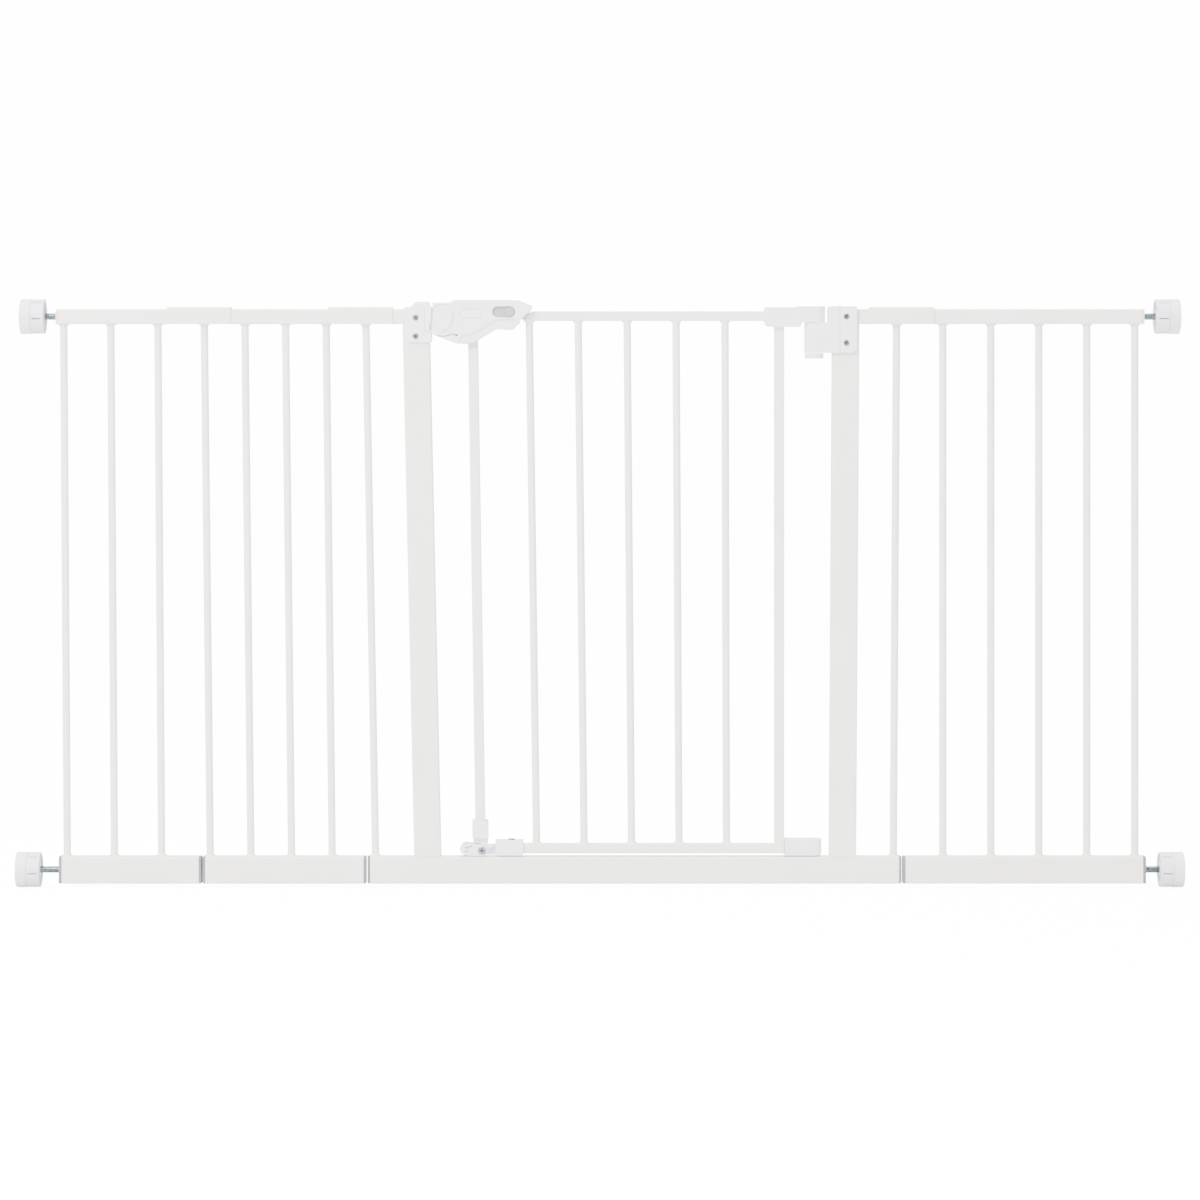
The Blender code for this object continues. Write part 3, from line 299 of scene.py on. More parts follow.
def cupRubber():
    made, tree, shader, place = startFinish("cupRubber")
    cloud = addNoise(tree, place, 60, 3)
    skin = addNoise(tree, place, 1500, 3)
    tree.links.new(addTint(tree, cloud, (0.70, 0.70, 0.70), (0.77, 0.77, 0.765)), shader.inputs["Base Color"])
    tree.links.new(addRange(tree, skin, 0.52, 0.66), shader.inputs["Roughness"])
    addBump(tree, shader, (addNoise(tree, place, 260, 2), 0.00003), (skin, 0.000012))
    return made


finishes = {
    "powder": powderCoat(),
    "plastic": mouldedPlastic("whitePlastic", (0.800, 0.805, 0.812), (0.850, 0.852, 0.856), 0.36, 0.47),
    "wheelPlastic": mouldedPlastic("wheelPlastic", (0.66, 0.66, 0.725), (0.72, 0.72, 0.775), 0.38, 0.50),
    "greyPlastic": mouldedPlastic("greyPlastic", (0.14, 0.14, 0.155), (0.19, 0.19, 0.205), 0.42, 0.55),
    "palePlug": mouldedPlastic("palePlug", (0.62, 0.65, 0.66), (0.70, 0.73, 0.735), 0.34, 0.46),
    "sliderPlastic": mouldedPlastic("sliderPlastic", (0.275, 0.275, 0.29), (0.32, 0.32, 0.335), 0.36, 0.48),
    "plaque": mouldedPlastic("plaqueSatin", (0.84, 0.84, 0.84), (0.87, 0.87, 0.87), 0.24, 0.32, 0.000003),
    "zinc": zincPlate("zincPlate", (0.15, 1, 1)),
    "screwZinc": zincPlate("screwZinc", (1, 1, 1), (0.17, 0.20, 0.215), (0.36, 0.40, 0.42)),
    # dark zinc that paints shade into the screw heads' cross and round the back of their rims
    "paintedShade": zincPlate("zincPaintedShade", (1, 1, 1), (0.05, 0.055, 0.06), (0.11, 0.12, 0.125)),
    "zincUpright": zincPlate("zincUpright", (1, 1, 0.15)),
    "rubber": cupRubber(),
}
print("finishes made,", len(finishes))


def pointsOf(node):
    return [vert.co for vert in frame["nodes"][node].data.vertices]


def spanX(node, zLow, zHigh):
    xs = [point.x for point in pointsOf(node) if zLow <= point.z <= zHigh]
    return min(xs), max(xs)


def barCentres(node, z, reach):  # middles of the round bars that meet a rail at this height
    xs = sorted(p.x for p in pointsOf(node) if abs(p.z - z) < hair and abs(p.y) < reach)
    groups = []
    for x in xs:
        if groups and x - groups[-1][0] < 2.5 * reach:
            groups[-1].append(x)
        else:
            groups.append([x])
    return [(group[0] + group[-1]) / 2 for group in groups]


barRadius = 0.005
frameLow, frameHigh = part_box("base_frame")
panelRail = {"corner": 0.0028, "topCorner": 0.0022, "wall": 0.0012, "pocket": 0.012}
topRailHeight = frameHigh.y - frameLow.y                       # the top rail is as tall as it is deep
railTop = min(p.z for p in pointsOf("lower_hinge_pin")) - 0.0003
barTop = frameHigh.z - topRailHeight


def addTube(name, low, high, along, corner, wall=panelRail["wall"]):
    tube = addBlock(name, low, high)
    roundEdges(tube, lambda middle, way: abs(way[along]) > 0.99, corner)
    startEdit(tube, "FACE")
    pickFaces(tube, lambda middle, normal: abs(normal[along]) > 0.99)
    bpy.ops.mesh.inset(thickness=wall)
    pullOut(-panelRail["pocket"])
    endEdit()
    return tube


def leanPiece(piece, xLow, zLow, xHigh, zHigh):
    for vert in piece.data.vertices:
        vert.co.x += (xHigh - xLow) * (vert.co.z - zLow) / (zHigh - zLow)


weldBead = {"neck": 0.0036, "flare": 1.38, "rise": 0.0012, "sink": 0.0004}


def addBar(name, xLow, xHigh, zLow, zHigh, radius):
    neck, rise = weldBead["neck"], weldBead["rise"]
    bar = addRound(name, (xLow, 0, zLow + neck), (xLow, 0, zHigh - neck), radius, 32)
    startEdit(bar, "FACE")
    pickFaces(bar, lambda middle, normal: abs(normal.z) > 0.99)
    centre = (xLow, 0, (zLow + zHigh) / 2)
    for grow, out in ((1.02, neck - 2 * rise), (weldBead["flare"], rise), (1.04, rise),
                      (1.0, weldBead["sink"])):
        pullOut(out)
        bpy.ops.transform.resize(value=(grow, min(grow, 1.15), 1), center_override=centre)
    endEdit()
    leanPiece(bar, xLow, zLow, xHigh, zHigh)
    return bar


def barsOf(node, name, zLow, zHigh):
    low, high = barCentres(node, zLow, barRadius + hair), barCentres(node, zHigh, barRadius + hair)
    return [addBar(f"{name}Bar{i}", *pair, zLow, zHigh, barRadius) for i, pair in enumerate(zip(low, high))]


def railBlock(name, node, zLow, zHigh, corner):
    low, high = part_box(node)
    x0, x1 = spanX(node, zLow - hair, zHigh + hair)
    return addTube(name, (x0, low.y, zLow), (x1, high.y, zHigh), 0, corner, panelRail["wall"])


def weldedPanel(node, name):
    low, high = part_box(node)
    base = railBlock(name, node, low.z, railTop, panelRail["corner"])
    top = railBlock(name + "Top", node, barTop, high.z, panelRail["topCorner"])
    return joinPieces(base, top, *barsOf(node, name, railTop, barTop))


postWeld = {"neck": 0.0030, "rise": 0.0009, "spread": 1.055, "sink": 0.0004}


def addPost(name, xLow, xHigh, half):  # a leaning post with a weld round its foot
    zLow, zHigh = railTop, frameHigh.z
    neck, rise = postWeld["neck"], postWeld["rise"]
    post = addTube(name, (xLow - half, frameLow.y, zLow + neck), (xLow + half, frameHigh.y, zHigh), 2,
                   panelRail["corner"])
    startEdit(post, "FACE")
    pickFaces(post, lambda middle, normal: normal.z < -0.99 and middle.z < zLow + neck + hair)
    pullOut(neck - rise)
    pullOut(rise + postWeld["sink"])
    bpy.ops.transform.resize(value=(postWeld["spread"], 1.0, 1), center_override=(xLow, 0, zLow))
    endEdit()
    leanPiece(post, xLow, zLow, xHigh, zHigh)
    return post


def baseFrame():
    base = railBlock("weldedBase", "base_frame", frameLow.z, railTop, panelRail["corner"])
    points = pointsOf("base_frame")
    tops = [p.x for p in points if p.z > frameHigh.z - hair]
    feet = sorted({round(p.x, 5) for p in points if abs(p.z - railTop) < hair and abs(p.y) > 0.0099})
    half = (feet[2] - feet[1]) / 2
    seat = half - panelRail["corner"] + hair                 # a stub ends under the post's rounded corner
    latchTop = max(x for x in tops if x < 0) - half
    hingeTop = min(x for x in tops if x > 0) + half
    posts = [addPost("latchPost", feet[1] + half, latchTop, half),
             addPost("hingePost", feet[3] + half, hingeTop, half)]
    left, right = spanX("base_frame", barTop - hair, frameHigh.z + hair)
    rails = [addTube("leftStub", (left, frameLow.y, barTop), (latchTop - seat, frameHigh.y, frameHigh.z), 0,
                     panelRail["topCorner"]),
             addTube("rightStub", (hingeTop + seat, frameLow.y, barTop), (right, frameHigh.y, frameHigh.z), 0,
                     panelRail["topCorner"])]
    joinPieces(base, *posts, *rails, *barsOf("base_frame", "base", railTop, barTop))
    standFor(base, "powder", "base_frame")


gateForm = {"tube": 0.013, "stile": 0.0134, "corner": 0.0018, "overlap": 0.0030}


def swingGate():
    low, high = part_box("gate_frame")
    tube, corner = gateForm["tube"], gateForm["corner"]
    stileLeft = spanX("gate_frame", high.z - hair, high.z)[1] - gateForm["stile"]
    gate = addTube("swingGate", (stileLeft, low.y, low.z), (high.x, high.y, high.z), 2, corner)
    half = tube / 2
    railEnd = stileLeft + gateForm["overlap"]                  # the rails run a little way into the stile
    base = addTube("gateBase", (low.x, -half, low.z), (railEnd, half, low.z + tube), 0, corner)
    railLow = high.z - tube
    cut = spanX("gate_frame", railLow - hair, railLow + hair)[0]
    top = addTube("gateTop", (cut, -half, railLow), (railEnd, half, high.z), 0, corner)
    for vert in top.data.vertices:
        if vert.co.x < cut + 2 * tube:
            vert.co.x += vert.co.z - railLow
    bars = barsOf("gate_frame", "gate", low.z + tube, railLow)
    standFor(joinPieces(gate, base, top, *bars), "powder", "gate_frame")


def lockBarTube():
    low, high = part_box("lock_bar")
    foot, head = spanX("lock_bar", low.z, low.z + hair), spanX("lock_bar", high.z - hair, high.z)
    bar = addTube("lockBarTube", (foot[0], low.y, low.z), (foot[1], high.y, high.z), 2, gateForm["corner"])
    leanPiece(bar, foot[0], low.z, head[0], high.z)
    standFor(bar, "powder", "lock_bar")


baseFrame()
for node, name in (("left_middle_panel", "leftMiddlePanel"), ("left_end_panel", "leftEndPanel"),
                   ("right_end_panel", "rightEndPanel")):
    standFor(weldedPanel(node, name), "powder", node)
swingGate()
lockBarTube()
print("welded frame, panels and gate made")


sleeveForm = {"corner": 0.0026, "edge": 0.0005}
plugForm = {"corner": 0.0026, "edge": 0.0007}


def railSleeve(node, name):
    sleeve = cleanShell(node, name)
    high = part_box(node)[1]
    roundEdges(sleeve, lambda middle, way: abs(way.x) > 0.99 and abs(middle.z - high.z) < hair
               and abs(abs(middle.y) - high.y) < hair, sleeveForm["corner"])
    soften(sleeve, sleeveForm["edge"])
    standFor(sleeve, "powder", node)


def tubePlug(node, name, finish):
    plug = cleanShell(node, name)
    low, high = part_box(node)
    roundEdges(plug, lambda middle, way: abs(way.x) > 0.99 and abs(abs(middle.y) - high.y) < hair
               and min(middle.z - low.z, high.z - middle.z) < hair, plugForm["corner"])
    soften(plug, plugForm["edge"])
    standFor(plug, finish, node)


corners = ("left_top", "left_bottom", "right_top", "right_bottom")


def plainName(node):  # left_top_nut becomes leftTopNut
    words = node.split("_")
    return words[0] + "".join(word.capitalize() for word in words[1:])


for side in ("left_outer", "left_inner", "right"):
    railSleeve(f"{side}_sleeve", plainName(f"{side}_sleeve") + "Cap")
    for hand in "ab":
        node = f"{side}_joint_plug_{hand}"
        tubePlug(node, plainName(node), "greyPlastic")
for corner in corners:
    node = f"{corner}_end_plug"
    tubePlug(node, plainName(node), "palePlug" if corner.endswith("top") else "greyPlastic")
print("sleeves and plugs made")


threadForm = {"pitch": 0.00125, "depth": 0.0004, "sides": 28}


def threadedRod(name, start, end, radius, form=threadForm):
    start, end = Vector(start), Vector(end)
    along = end - start
    pitch, root = form["pitch"], radius - form["depth"]
    turns = int(along.length / pitch)
    deselectAll()
    bpy.ops.mesh.primitive_circle_add(vertices=4, radius=radius)
    rod = bpy.context.object
    flanks = ((root, 0.0), (radius, 0.42), (radius, 0.58), (root, 1.0))  # one pitch of the thread's profile
    for vert, (out, share) in zip(rod.data.vertices, flanks):
        vert.co = (out, 0, share * pitch)
    startEdit(rod)
    pickEdges(rod, lambda middle, way: abs(way.z) > 0.999 and middle.x < (root + radius) / 2)
    bpy.ops.mesh.delete(type="EDGE_FACE")                      # the profile stays open along the core
    endEdit()
    step = rod.modifiers.new("turn", "SCREW")
    step.axis = "Z"
    step.steps = step.render_steps = form["sides"]
    step.screw_offset = pitch
    step.iterations = turns
    step.use_merge_vertices = True
    step.merge_threshold = 0.00001
    bpy.ops.object.modifier_apply(modifier=step.name)
    rod.name = rod.data.name = name
    startEdit(rod, "VERT")
    bpy.ops.mesh.select_all(action="SELECT")
    bpy.ops.mesh.remove_doubles(threshold=0.00001)
    bpy.ops.mesh.normals_make_consistent(inside=False)
    endEdit()
    core = addRound(name + "Core", (0, 0, 0.0002), (0, 0, along.length), root + hair, 32)
    soften(core, 0.0006, 2)
    joinPieces(rod, core)
    turn = along.to_track_quat("Z", "Y").to_matrix().to_4x4()
    rod.data.transform(Matrix.Translation(start) @ turn)
    return rod


wheelForm = {"slots": 6, "slotIn": 0.0016, "slotOut": 0.0026, "slotDepth": 0.0070, "slotTurn": 0.08,
             "firstSlot": 3.0, "dipFrom": 0.34, "dipTo": 0.74, "dipRim": 0.0012, "dipDepth": 0.0004,
             "rim": 0.0042, "dish": 0.0022, "hubWall": 0.0032, "hubRise": 0.0018, "hubGap": 0.0006}


def handWheel(node, name):
    low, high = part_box(node)
    out = 1 if low.x > 0 else -1
    z = (low.z + high.z) / 2
    cupSide, railSide = (high.x, low.x) if out > 0 else (low.x, high.x)
    radius = (high.z - low.z) / 2
    wheel = addRound(name, (railSide, 0, z), (cupSide, 0, z), radius, 72)
    startEdit(wheel, "FACE")
    for x in (cupSide - out * wheelForm["slotIn"], railSide + out * wheelForm["slotOut"]):
        bpy.ops.mesh.select_all(action="SELECT")
        bpy.ops.mesh.bisect(plane_co=(x, 0, z), plane_no=(1, 0, 0))

    def turnOf(middle):  # how far round a face lies, as a share of one slot's pitch
        angle = math.degrees(math.atan2(middle.z - z, middle.y))
        return ((angle - wheelForm["firstSlot"]) * wheelForm["slots"] / 360) % 1

    inside = sorted((cupSide - out * wheelForm["slotIn"], railSide + out * wheelForm["slotOut"]))
    pickFaces(wheel, lambda middle, normal: abs(normal.x) < 0.5 and inside[0] < middle.x < inside[1]
              and wheelForm["dipFrom"] < turnOf(middle) < wheelForm["dipTo"])
    bpy.ops.mesh.inset(thickness=wheelForm["dipRim"], depth=-wheelForm["dipDepth"])
    pickFaces(wheel, lambda middle, normal: abs(normal.x) < 0.5 and turnOf(middle) < wheelForm["slotTurn"]
              and inside[0] < middle.x < inside[1])
    bpy.ops.mesh.inset(thickness=0.0002)
    pullOut(-wheelForm["slotDepth"])
    endEdit()
    hub = threadRadius + wheelForm["hubGap"]
    startEdit(wheel, "FACE")
    pickFaces(wheel, lambda middle, normal: normal.x * out < -0.9 and abs(middle.x - railSide) < hair)
    bpy.ops.mesh.inset(thickness=wheelForm["rim"])
    pullOut(-wheelForm["dish"])
    bpy.ops.mesh.inset(thickness=radius - wheelForm["rim"] - hub - wheelForm["hubWall"])
    pullOut(wheelForm["hubRise"])
    endEdit()
    soften(wheel, 0.0004, 2, 50)
    standFor(wheel, "wheelPlastic", node)


cupForm = {"lip": 0.0034, "step": 0.0008, "hollow": 0.0016, "rings": 2, "ringGap": 0.0030,
           "ringWidth": 0.0014, "ringRise": 0.0012, "rim": 0.0016}


def wallCup(node, name):
    low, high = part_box(node)
    out = 1 if low.x > 0 else -1
    z = (low.z + high.z) / 2
    wall, inner = (high.x, low.x) if out > 0 else (low.x, high.x)
    radius = (high.z - low.z) / 2
    cup = addRound(name, (inner, 0, z), (wall, 0, z), radius, 72)
    startEdit(cup, "FACE")
    pickFaces(cup, lambda middle, normal: normal.x * out > 0.9)
    bpy.ops.mesh.inset(thickness=cupForm["lip"])
    bpy.ops.mesh.inset(thickness=cupForm["step"])
    pullOut(-cupForm["hollow"])
    for ring in range(cupForm["rings"]):
        bpy.ops.mesh.inset(thickness=cupForm["ringGap"])
        pullOut(cupForm["ringRise"])
        bpy.ops.mesh.inset(thickness=cupForm["ringWidth"])
        pullOut(-cupForm["ringRise"])
    endEdit()
    roundEdges(cup, lambda middle, way: abs(middle.x - wall) < hair
               and (Vector((middle.y, middle.z - z)).length > radius - 0.0003), cupForm["rim"], 4)
    soften(cup, 0.0004, 2, 50)
    standFor(cup, "rubber", node)


threadRadius = (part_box("left_top_spindle")[1].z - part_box("left_top_spindle")[0].z) / 2
for corner in corners:
    node = f"{corner}_spindle"
    low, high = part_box(node)
    middle = (low + high) / 2
    standFor(threadedRod(plainName(node), (low.x, 0, middle.z), (high.x, 0, middle.z), threadRadius), "zinc",
             node, angle=28)
    handWheel(f"{corner}_hand_wheel", plainName(f"{corner}_hand_wheel"))
    wallCup(f"{corner}_wall_cup", plainName(f"{corner}_wall_cup"))
print("spindles, wheels and cups made")


screwForm = {"arm": 0.62, "slim": 0.15, "floor": 0.25, "round": 0.75, "shade": 0.34}  # shares of its size; shade is how far from the back the rim gets painted shade


def crossHead(name, radius, rise):  # a pan head that faces -Y, its back at the origin
    head = addRound(name, (0, 0, 0), (0, -rise, 0), radius, 40)
    roundEdges(head, lambda middle, way: middle.y < -rise + hair, rise * screwForm["round"], 4)
    arm, slim, floor = radius * screwForm["arm"], radius * screwForm["slim"], -rise * screwForm["floor"]
    head.data.materials.append(finishes["screwZinc"])
    head.data.materials.append(finishes["paintedShade"])
    blades = [addBlock("blade", (-arm, -rise - 0.001, -slim), (arm, floor, slim)),
              addBlock("blade", (-slim, -rise - 0.001, -arm), (slim, floor, arm))]
    for blade in blades:                                       # the cut takes the cutter's dark zinc, which paints shade into the cross
        blade.data.materials.append(finishes["paintedShade"])
    cutWith(head, *blades)
    for face in head.data.polygons:                            # painted shade: the rim is darkened near its back
        if face.center.y > -rise * screwForm["shade"] and abs(face.normal.y) < 0.5:
            face.material_index = 1
    return head


for node in ("latch_keeper_screw_upper", "latch_keeper_screw_lower", "hinge_bracket_screw_upper",
             "hinge_bracket_screw_lower"):
    low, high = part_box(node)
    middle = (low + high) / 2
    head = crossHead(plainName(node), (high.x - low.x) / 2, high.y - low.y)
    turn = Matrix.Rotation(math.radians(34 if "upper" in node else 12), 4, "Y")
    head.data.transform(Matrix.Translation((middle.x, high.y, middle.z)) @ turn)
    standFor(head, "zinc", node)
print("bracket screws made")


pivot = Vector(joints["handle_lift"]["pos_m"])
coverLow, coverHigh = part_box("handle_cover")


eggForm = {"wide": 0.0119, "swell": 0.0018, "tall": 0.0155, "drop": 0.0002, "cap": 0.0011, "edge": 0.0007,
           "ringOut": 0.0034, "ringIn": 0.0024, "ringDepth": 0.0013}


def eggLoop(name, grow, y0, y1):  # an egg-shaped slab about the pivot, wider at its top
    egg = addRound(name, (pivot.x, y1, pivot.z), (pivot.x, y0, pivot.z), 1, 72)
    for vert in egg.data.vertices:
        angle = math.atan2(vert.co.z - pivot.z, vert.co.x - pivot.x)
        wide = eggForm["wide"] + eggForm["swell"] * math.sin(angle)
        vert.co.x = pivot.x + (wide + grow) * math.cos(angle)
        vert.co.z = pivot.z + (eggForm["tall"] + grow) * math.sin(angle) - eggForm["drop"]
    return egg


def pillLoop(name, x, z, length, height, y0, y1):
    pill = addBlock(name, (pivot.x + x - length / 2, y0, pivot.z + z - height / 2),
                    (pivot.x + x + length / 2, y1, pivot.z + z + height / 2))
    roundEdges(pill, lambda middle, way: abs(way.y) > 0.99, height / 2 - 0.00001, 14)
    return pill


coverWall = {"x": (0.0225, 0.0262), "z": (-0.0262, -0.0176), "half": 0.0138}  # closes the corner by the grip
plaquePlace = {"x": 0.0367, "z": 0.0063, "length": 0.0300, "height": 0.0130}


def handleCover():
    cover = cleanShell("handle_cover", "handleCover")
    front, back = coverLow.y, coverHigh.y
    soften(cover, 0.0013, 4, 50)
    for face, deep in ((front, eggForm["ringDepth"]), (back, -eggForm["ringDepth"])):
        span = sorted((face - deep, face + deep))
        wide = sorted((face - 2 * deep, face + 2 * deep))
        outer = eggLoop("ring", eggForm["ringOut"], *span)
        inner = eggLoop("ringCore", eggForm["ringIn"], *wide)
        cutWith(outer, inner)
        cutWith(cover, outer)
    span = (front - 0.0005, front + 0.0012)
    p = plaquePlace
    cutWith(cover, pillLoop("seat", p["x"], p["z"], p["length"], p["height"], *span))
    wall = coverWall
    inner = addBlock("coverInnerWall", (pivot.x + wall["x"][0], -wall["half"], pivot.z + wall["z"][0]),
                     (pivot.x + wall["x"][1], wall["half"], pivot.z + wall["z"][1]))
    standFor(joinPieces(cover, inner), "plastic", "handle_cover")
    inlay = pillLoop("handlePlaque", p["x"], p["z"], p["length"] - 0.0020, p["height"] - 0.0020,
                     front + hair, front + 0.00118)
    soften(inlay, 0.0003, 2)
    finishPiece(inlay, "plaque", "handle_cover")


def handleGrip():
    grip = cleanShell("handle_grip", "handleGrip")
    soften(grip, 0.0011, 4, 42)
    standFor(grip, "plastic", "handle_grip")


joinLine = [(0.0236, -0.0315), (0.0238, -0.0272), (0.0266, -0.0240), (0.0351, -0.0221), (0.0451, -0.0180),
            (0.0621, -0.0078), (0.0700, -0.0039), (0.0790, -0.0022), (0.0900, -0.0022), (0.1012, -0.0023)]


def joinBead():  # the soft bead in the joint between the cover and the grip, on both faces
    for way, name in ((-1, "frontBead"), (1, "rearBead")):
        line = bpy.data.curves.new(name, "CURVE")
        line.dimensions = "3D"
        line.bevel_depth = 0.00060
        line.bevel_resolution = 3
        line.use_fill_caps = True
        path = line.splines.new("NURBS")
        path.points.add(len(joinLine) - 1)
        path.order_u = 3
        path.use_endpoint_u = True
        path.resolution_u = 6
        for point, (x, z) in zip(path.points, joinLine):
            point.co = (pivot.x + x, way * (coverHigh.y - 0.0008), pivot.z + z, 1)
        bead = bpy.data.objects.new(name, line)
        bpy.context.scene.collection.objects.link(bead)
        makeActive(bead)
        bpy.ops.object.convert(target="MESH")
        finishPiece(bpy.context.object, "plastic", "handle_grip")


def pivotCaps():
    low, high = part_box("handle_pivot")
    front = eggLoop("eggCaps", 0, low.y, low.y + eggForm["cap"])
    roundEdges(front, lambda middle, way: middle.y < low.y + hair, eggForm["edge"], 4)
    back = eggLoop("eggBack", 0, high.y - eggForm["cap"], high.y)
    roundEdges(back, lambda middle, way: middle.y > high.y - hair, eggForm["edge"], 4)
    shaft = addRound("eggShaft", (pivot.x, low.y + 0.0009, pivot.z), (pivot.x, high.y - 0.0009, pivot.z),
                     0.004, 32)
    standFor(joinPieces(front, back, shaft), "plastic", "handle_pivot")


sliderScoop = {"x": 0.0858, "z": 0.0083, "radius": 0.0064, "depth": 0.0011}


def safetySlider():  # the finger pad is scooped out, which leaves a crescent at its end
    slider = cleanShell("safety_slider", "safetySlider")
    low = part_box("safety_slider")[0]
    x, z, floor = pivot.x + sliderScoop["x"], pivot.z + sliderScoop["z"], low.y + sliderScoop["depth"]
    soften(slider, 0.0004, 3, 50)
    cutWith(slider, addRound("scoop", (x, floor, z), (x, low.y - 0.002, z), sliderScoop["radius"], 48))
    standFor(slider, "sliderPlastic", "safety_slider")


seamForm = {"width": 0.0009, "depth": 0.0014, "keeperX": 0.0262, "keeperZ": -0.0170, "bracketX": 0.0232}


def latchKeeper():
    keeper = cleanShell("latch_keeper", "latchKeeper")
    low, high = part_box("latch_keeper")
    roundEdges(keeper, lambda middle, way: abs(way.z) > 0.99 and middle.x < low.x + hair, 0.0010, 3)
    soften(keeper, 0.0006, 3, 50)
    seam, seamZ = low.x + seamForm["keeperX"], pivot.z + seamForm["keeperZ"]
    wide, floor = seamForm["width"], low.y + seamForm["depth"]
    cutWith(keeper, addBlock("seam", (seam, low.y - 0.001, seamZ), (seam + wide, floor, high.z)),
            addBlock("seam", (seam, low.y - 0.001, seamZ - wide), (high.x + 0.001, floor, seamZ)))
    standFor(keeper, "plastic", "latch_keeper")


tabCut = {"x": 0.0085, "z": -0.0301, "slope": 20.4}


def latchHousing():  # the lower edge is cut to run straight to the keeper
    housing = cleanShell("latch_housing", "latchHousing")
    wedge = addBlock("wedge", (-0.03, -0.02, -0.01), (0.0, 0.02, 0.0))
    wedge.data.transform(Matrix.Translation((pivot.x + tabCut["x"], 0, pivot.z + tabCut["z"]))
                         @ Matrix.Rotation(math.radians(tabCut["slope"]), 4, "Y"))
    cutWith(housing, wedge)
    soften(housing, 0.0002, 2, 50)
    standFor(housing, "plastic", "latch_housing")


handleCover()
handleGrip()
joinBead()
pivotCaps()
safetySlider()
latchKeeper()
latchHousing()
print("latch made")


armCorners = {"lower": 0.0080, "upper": 0.0030, "tip": 0.0030}


def hingeArm():
    arm = cleanShell("hinge_arm", "hingeArm")
    low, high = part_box("hinge_arm")
    roundEdges(arm, lambda middle, way: abs(way.y) > 0.99 and middle.x < low.x + hair
               and middle.z < low.z + 0.001, armCorners["lower"], 8)
    roundEdges(arm, lambda middle, way: abs(way.y) > 0.99 and middle.x < low.x + hair
               and middle.z > high.z - 0.003, armCorners["upper"], 5)
    roundEdges(arm, lambda middle, way: abs(way.y) > 0.99 and middle.z < low.z + hair
               and middle.x > low.x + 0.03, armCorners["tip"], 5)
    soften(arm, 0.0006, 3, 50)
    standFor(arm, "plastic", "hinge_arm")


bracketCorners = {"lower": 0.0090, "upper": 0.0032}


def hingeBracket():
    bracket = cleanShell("hinge_bracket", "hingeBracket")
    low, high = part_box("hinge_bracket")
    roundEdges(bracket, lambda middle, way: abs(way.y) > 0.99 and middle.x > high.x - hair
               and middle.z < low.z + hair, bracketCorners["lower"], 9)
    roundEdges(bracket, lambda middle, way: abs(way.y) > 0.99 and middle.z > high.z - hair,
               bracketCorners["upper"], 5)
    soften(bracket, 0.0006, 3, 50)
    seam, floor = high.x - seamForm["bracketX"], low.y + seamForm["depth"]
    cutWith(bracket, addBlock("seam", (seam, low.y - 0.001, low.z - 0.001),
                              (seam + seamForm["width"], floor, 1)))
    standFor(bracket, "plastic", "hinge_bracket")


barrelForm = {"neck": 0.93, "lead": 0.0008, "gap": 0.0003, "rim": 0.0030, "hollow": 0.0012}
barrelSteps = ((1.07, 0.06), (1.0, 0.36), (0.94, 0.06), (1.0, 0.10), (1.055, 0.06), (1.0, 0.30), (0.93, 0.06))


def barrelCap():  # each step grows the radius and takes a share of the height
    low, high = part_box("hinge_barrel_cap")
    centre = (low + high) / 2
    radius = (high.x - low.x) / 2
    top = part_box("hinge_bracket")[0].z - barrelForm["gap"]
    neckLow = top - barrelForm["lead"]
    cap = addRound("barrelCap", (centre.x, 0, neckLow), (centre.x, 0, top), radius * barrelForm["neck"], 64)
    startEdit(cap, "FACE")
    pickFaces(cap, lambda middle, normal: normal.z < -0.9)
    height = neckLow - low.z
    for grow, share in barrelSteps:
        pullOut(share * height)
        bpy.ops.transform.resize(value=(grow, grow, 1), center_override=centre)
    bpy.ops.mesh.inset(thickness=barrelForm["rim"])
    pullOut(-barrelForm["hollow"])
    endEdit()
    soften(cap, 0.0002, 2, 50)
    standFor(cap, "plastic", "hinge_barrel_cap")


blockForm = {"top": 0.0018, "cut": 0.0020, "edge": 0.0004}
pinThread = {"pitch": 0.0010, "depth": 0.0004, "sides": 28}


def lowerHinge():
    block = cleanShell("lower_hinge_block", "lowerHingeBlock")
    low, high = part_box("lower_hinge_block")
    roundEdges(block, lambda middle, way: abs(way.z) < 0.2 and middle.z > high.z - hair, blockForm["top"], 4)
    corner = addBlock("corner", (-0.010, -0.02, -0.010), (0.010, 0.02, 0.0))
    corner.data.transform(Matrix.Translation((high.x - blockForm["cut"], 0, low.z))
                          @ Matrix.Rotation(math.radians(-45), 4, "Y"))
    cutWith(block, corner)
    soften(block, blockForm["edge"], 3, 50)
    standFor(block, "plastic", "lower_hinge_block")
    low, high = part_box("lower_hinge_pin")
    centre = (low + high) / 2
    pin = threadedRod("lowerHingePin", (centre.x, 0, low.z), (centre.x, 0, high.z), (high.x - low.x) / 2,
                      pinThread)
    standFor(pin, "zincUpright", "lower_hinge_pin", angle=28)


hingeArm()
hingeBracket()
barrelCap()
lowerHinge()
print("hinges made")


footPivot = Vector(joints["foot_turn"]["pos_m"])


footForm = {"slotX": -0.0179, "slotLength": 0.0105, "slotHeight": 0.0017, "slotDepth": 0.0040, "slotTilt": 16,
            "plateLeft": -0.0235, "plateRight": -0.0061, "plateLow": -0.0056, "plateHigh": 0.0052,
            "proud": 0.0004, "noseX": -0.0166, "noseZ": 0.0009, "noseTilt": -40, "slotZ": (0.0047, -0.0003),
            "ringOut": 0.0070, "ringIn": 0.0056}


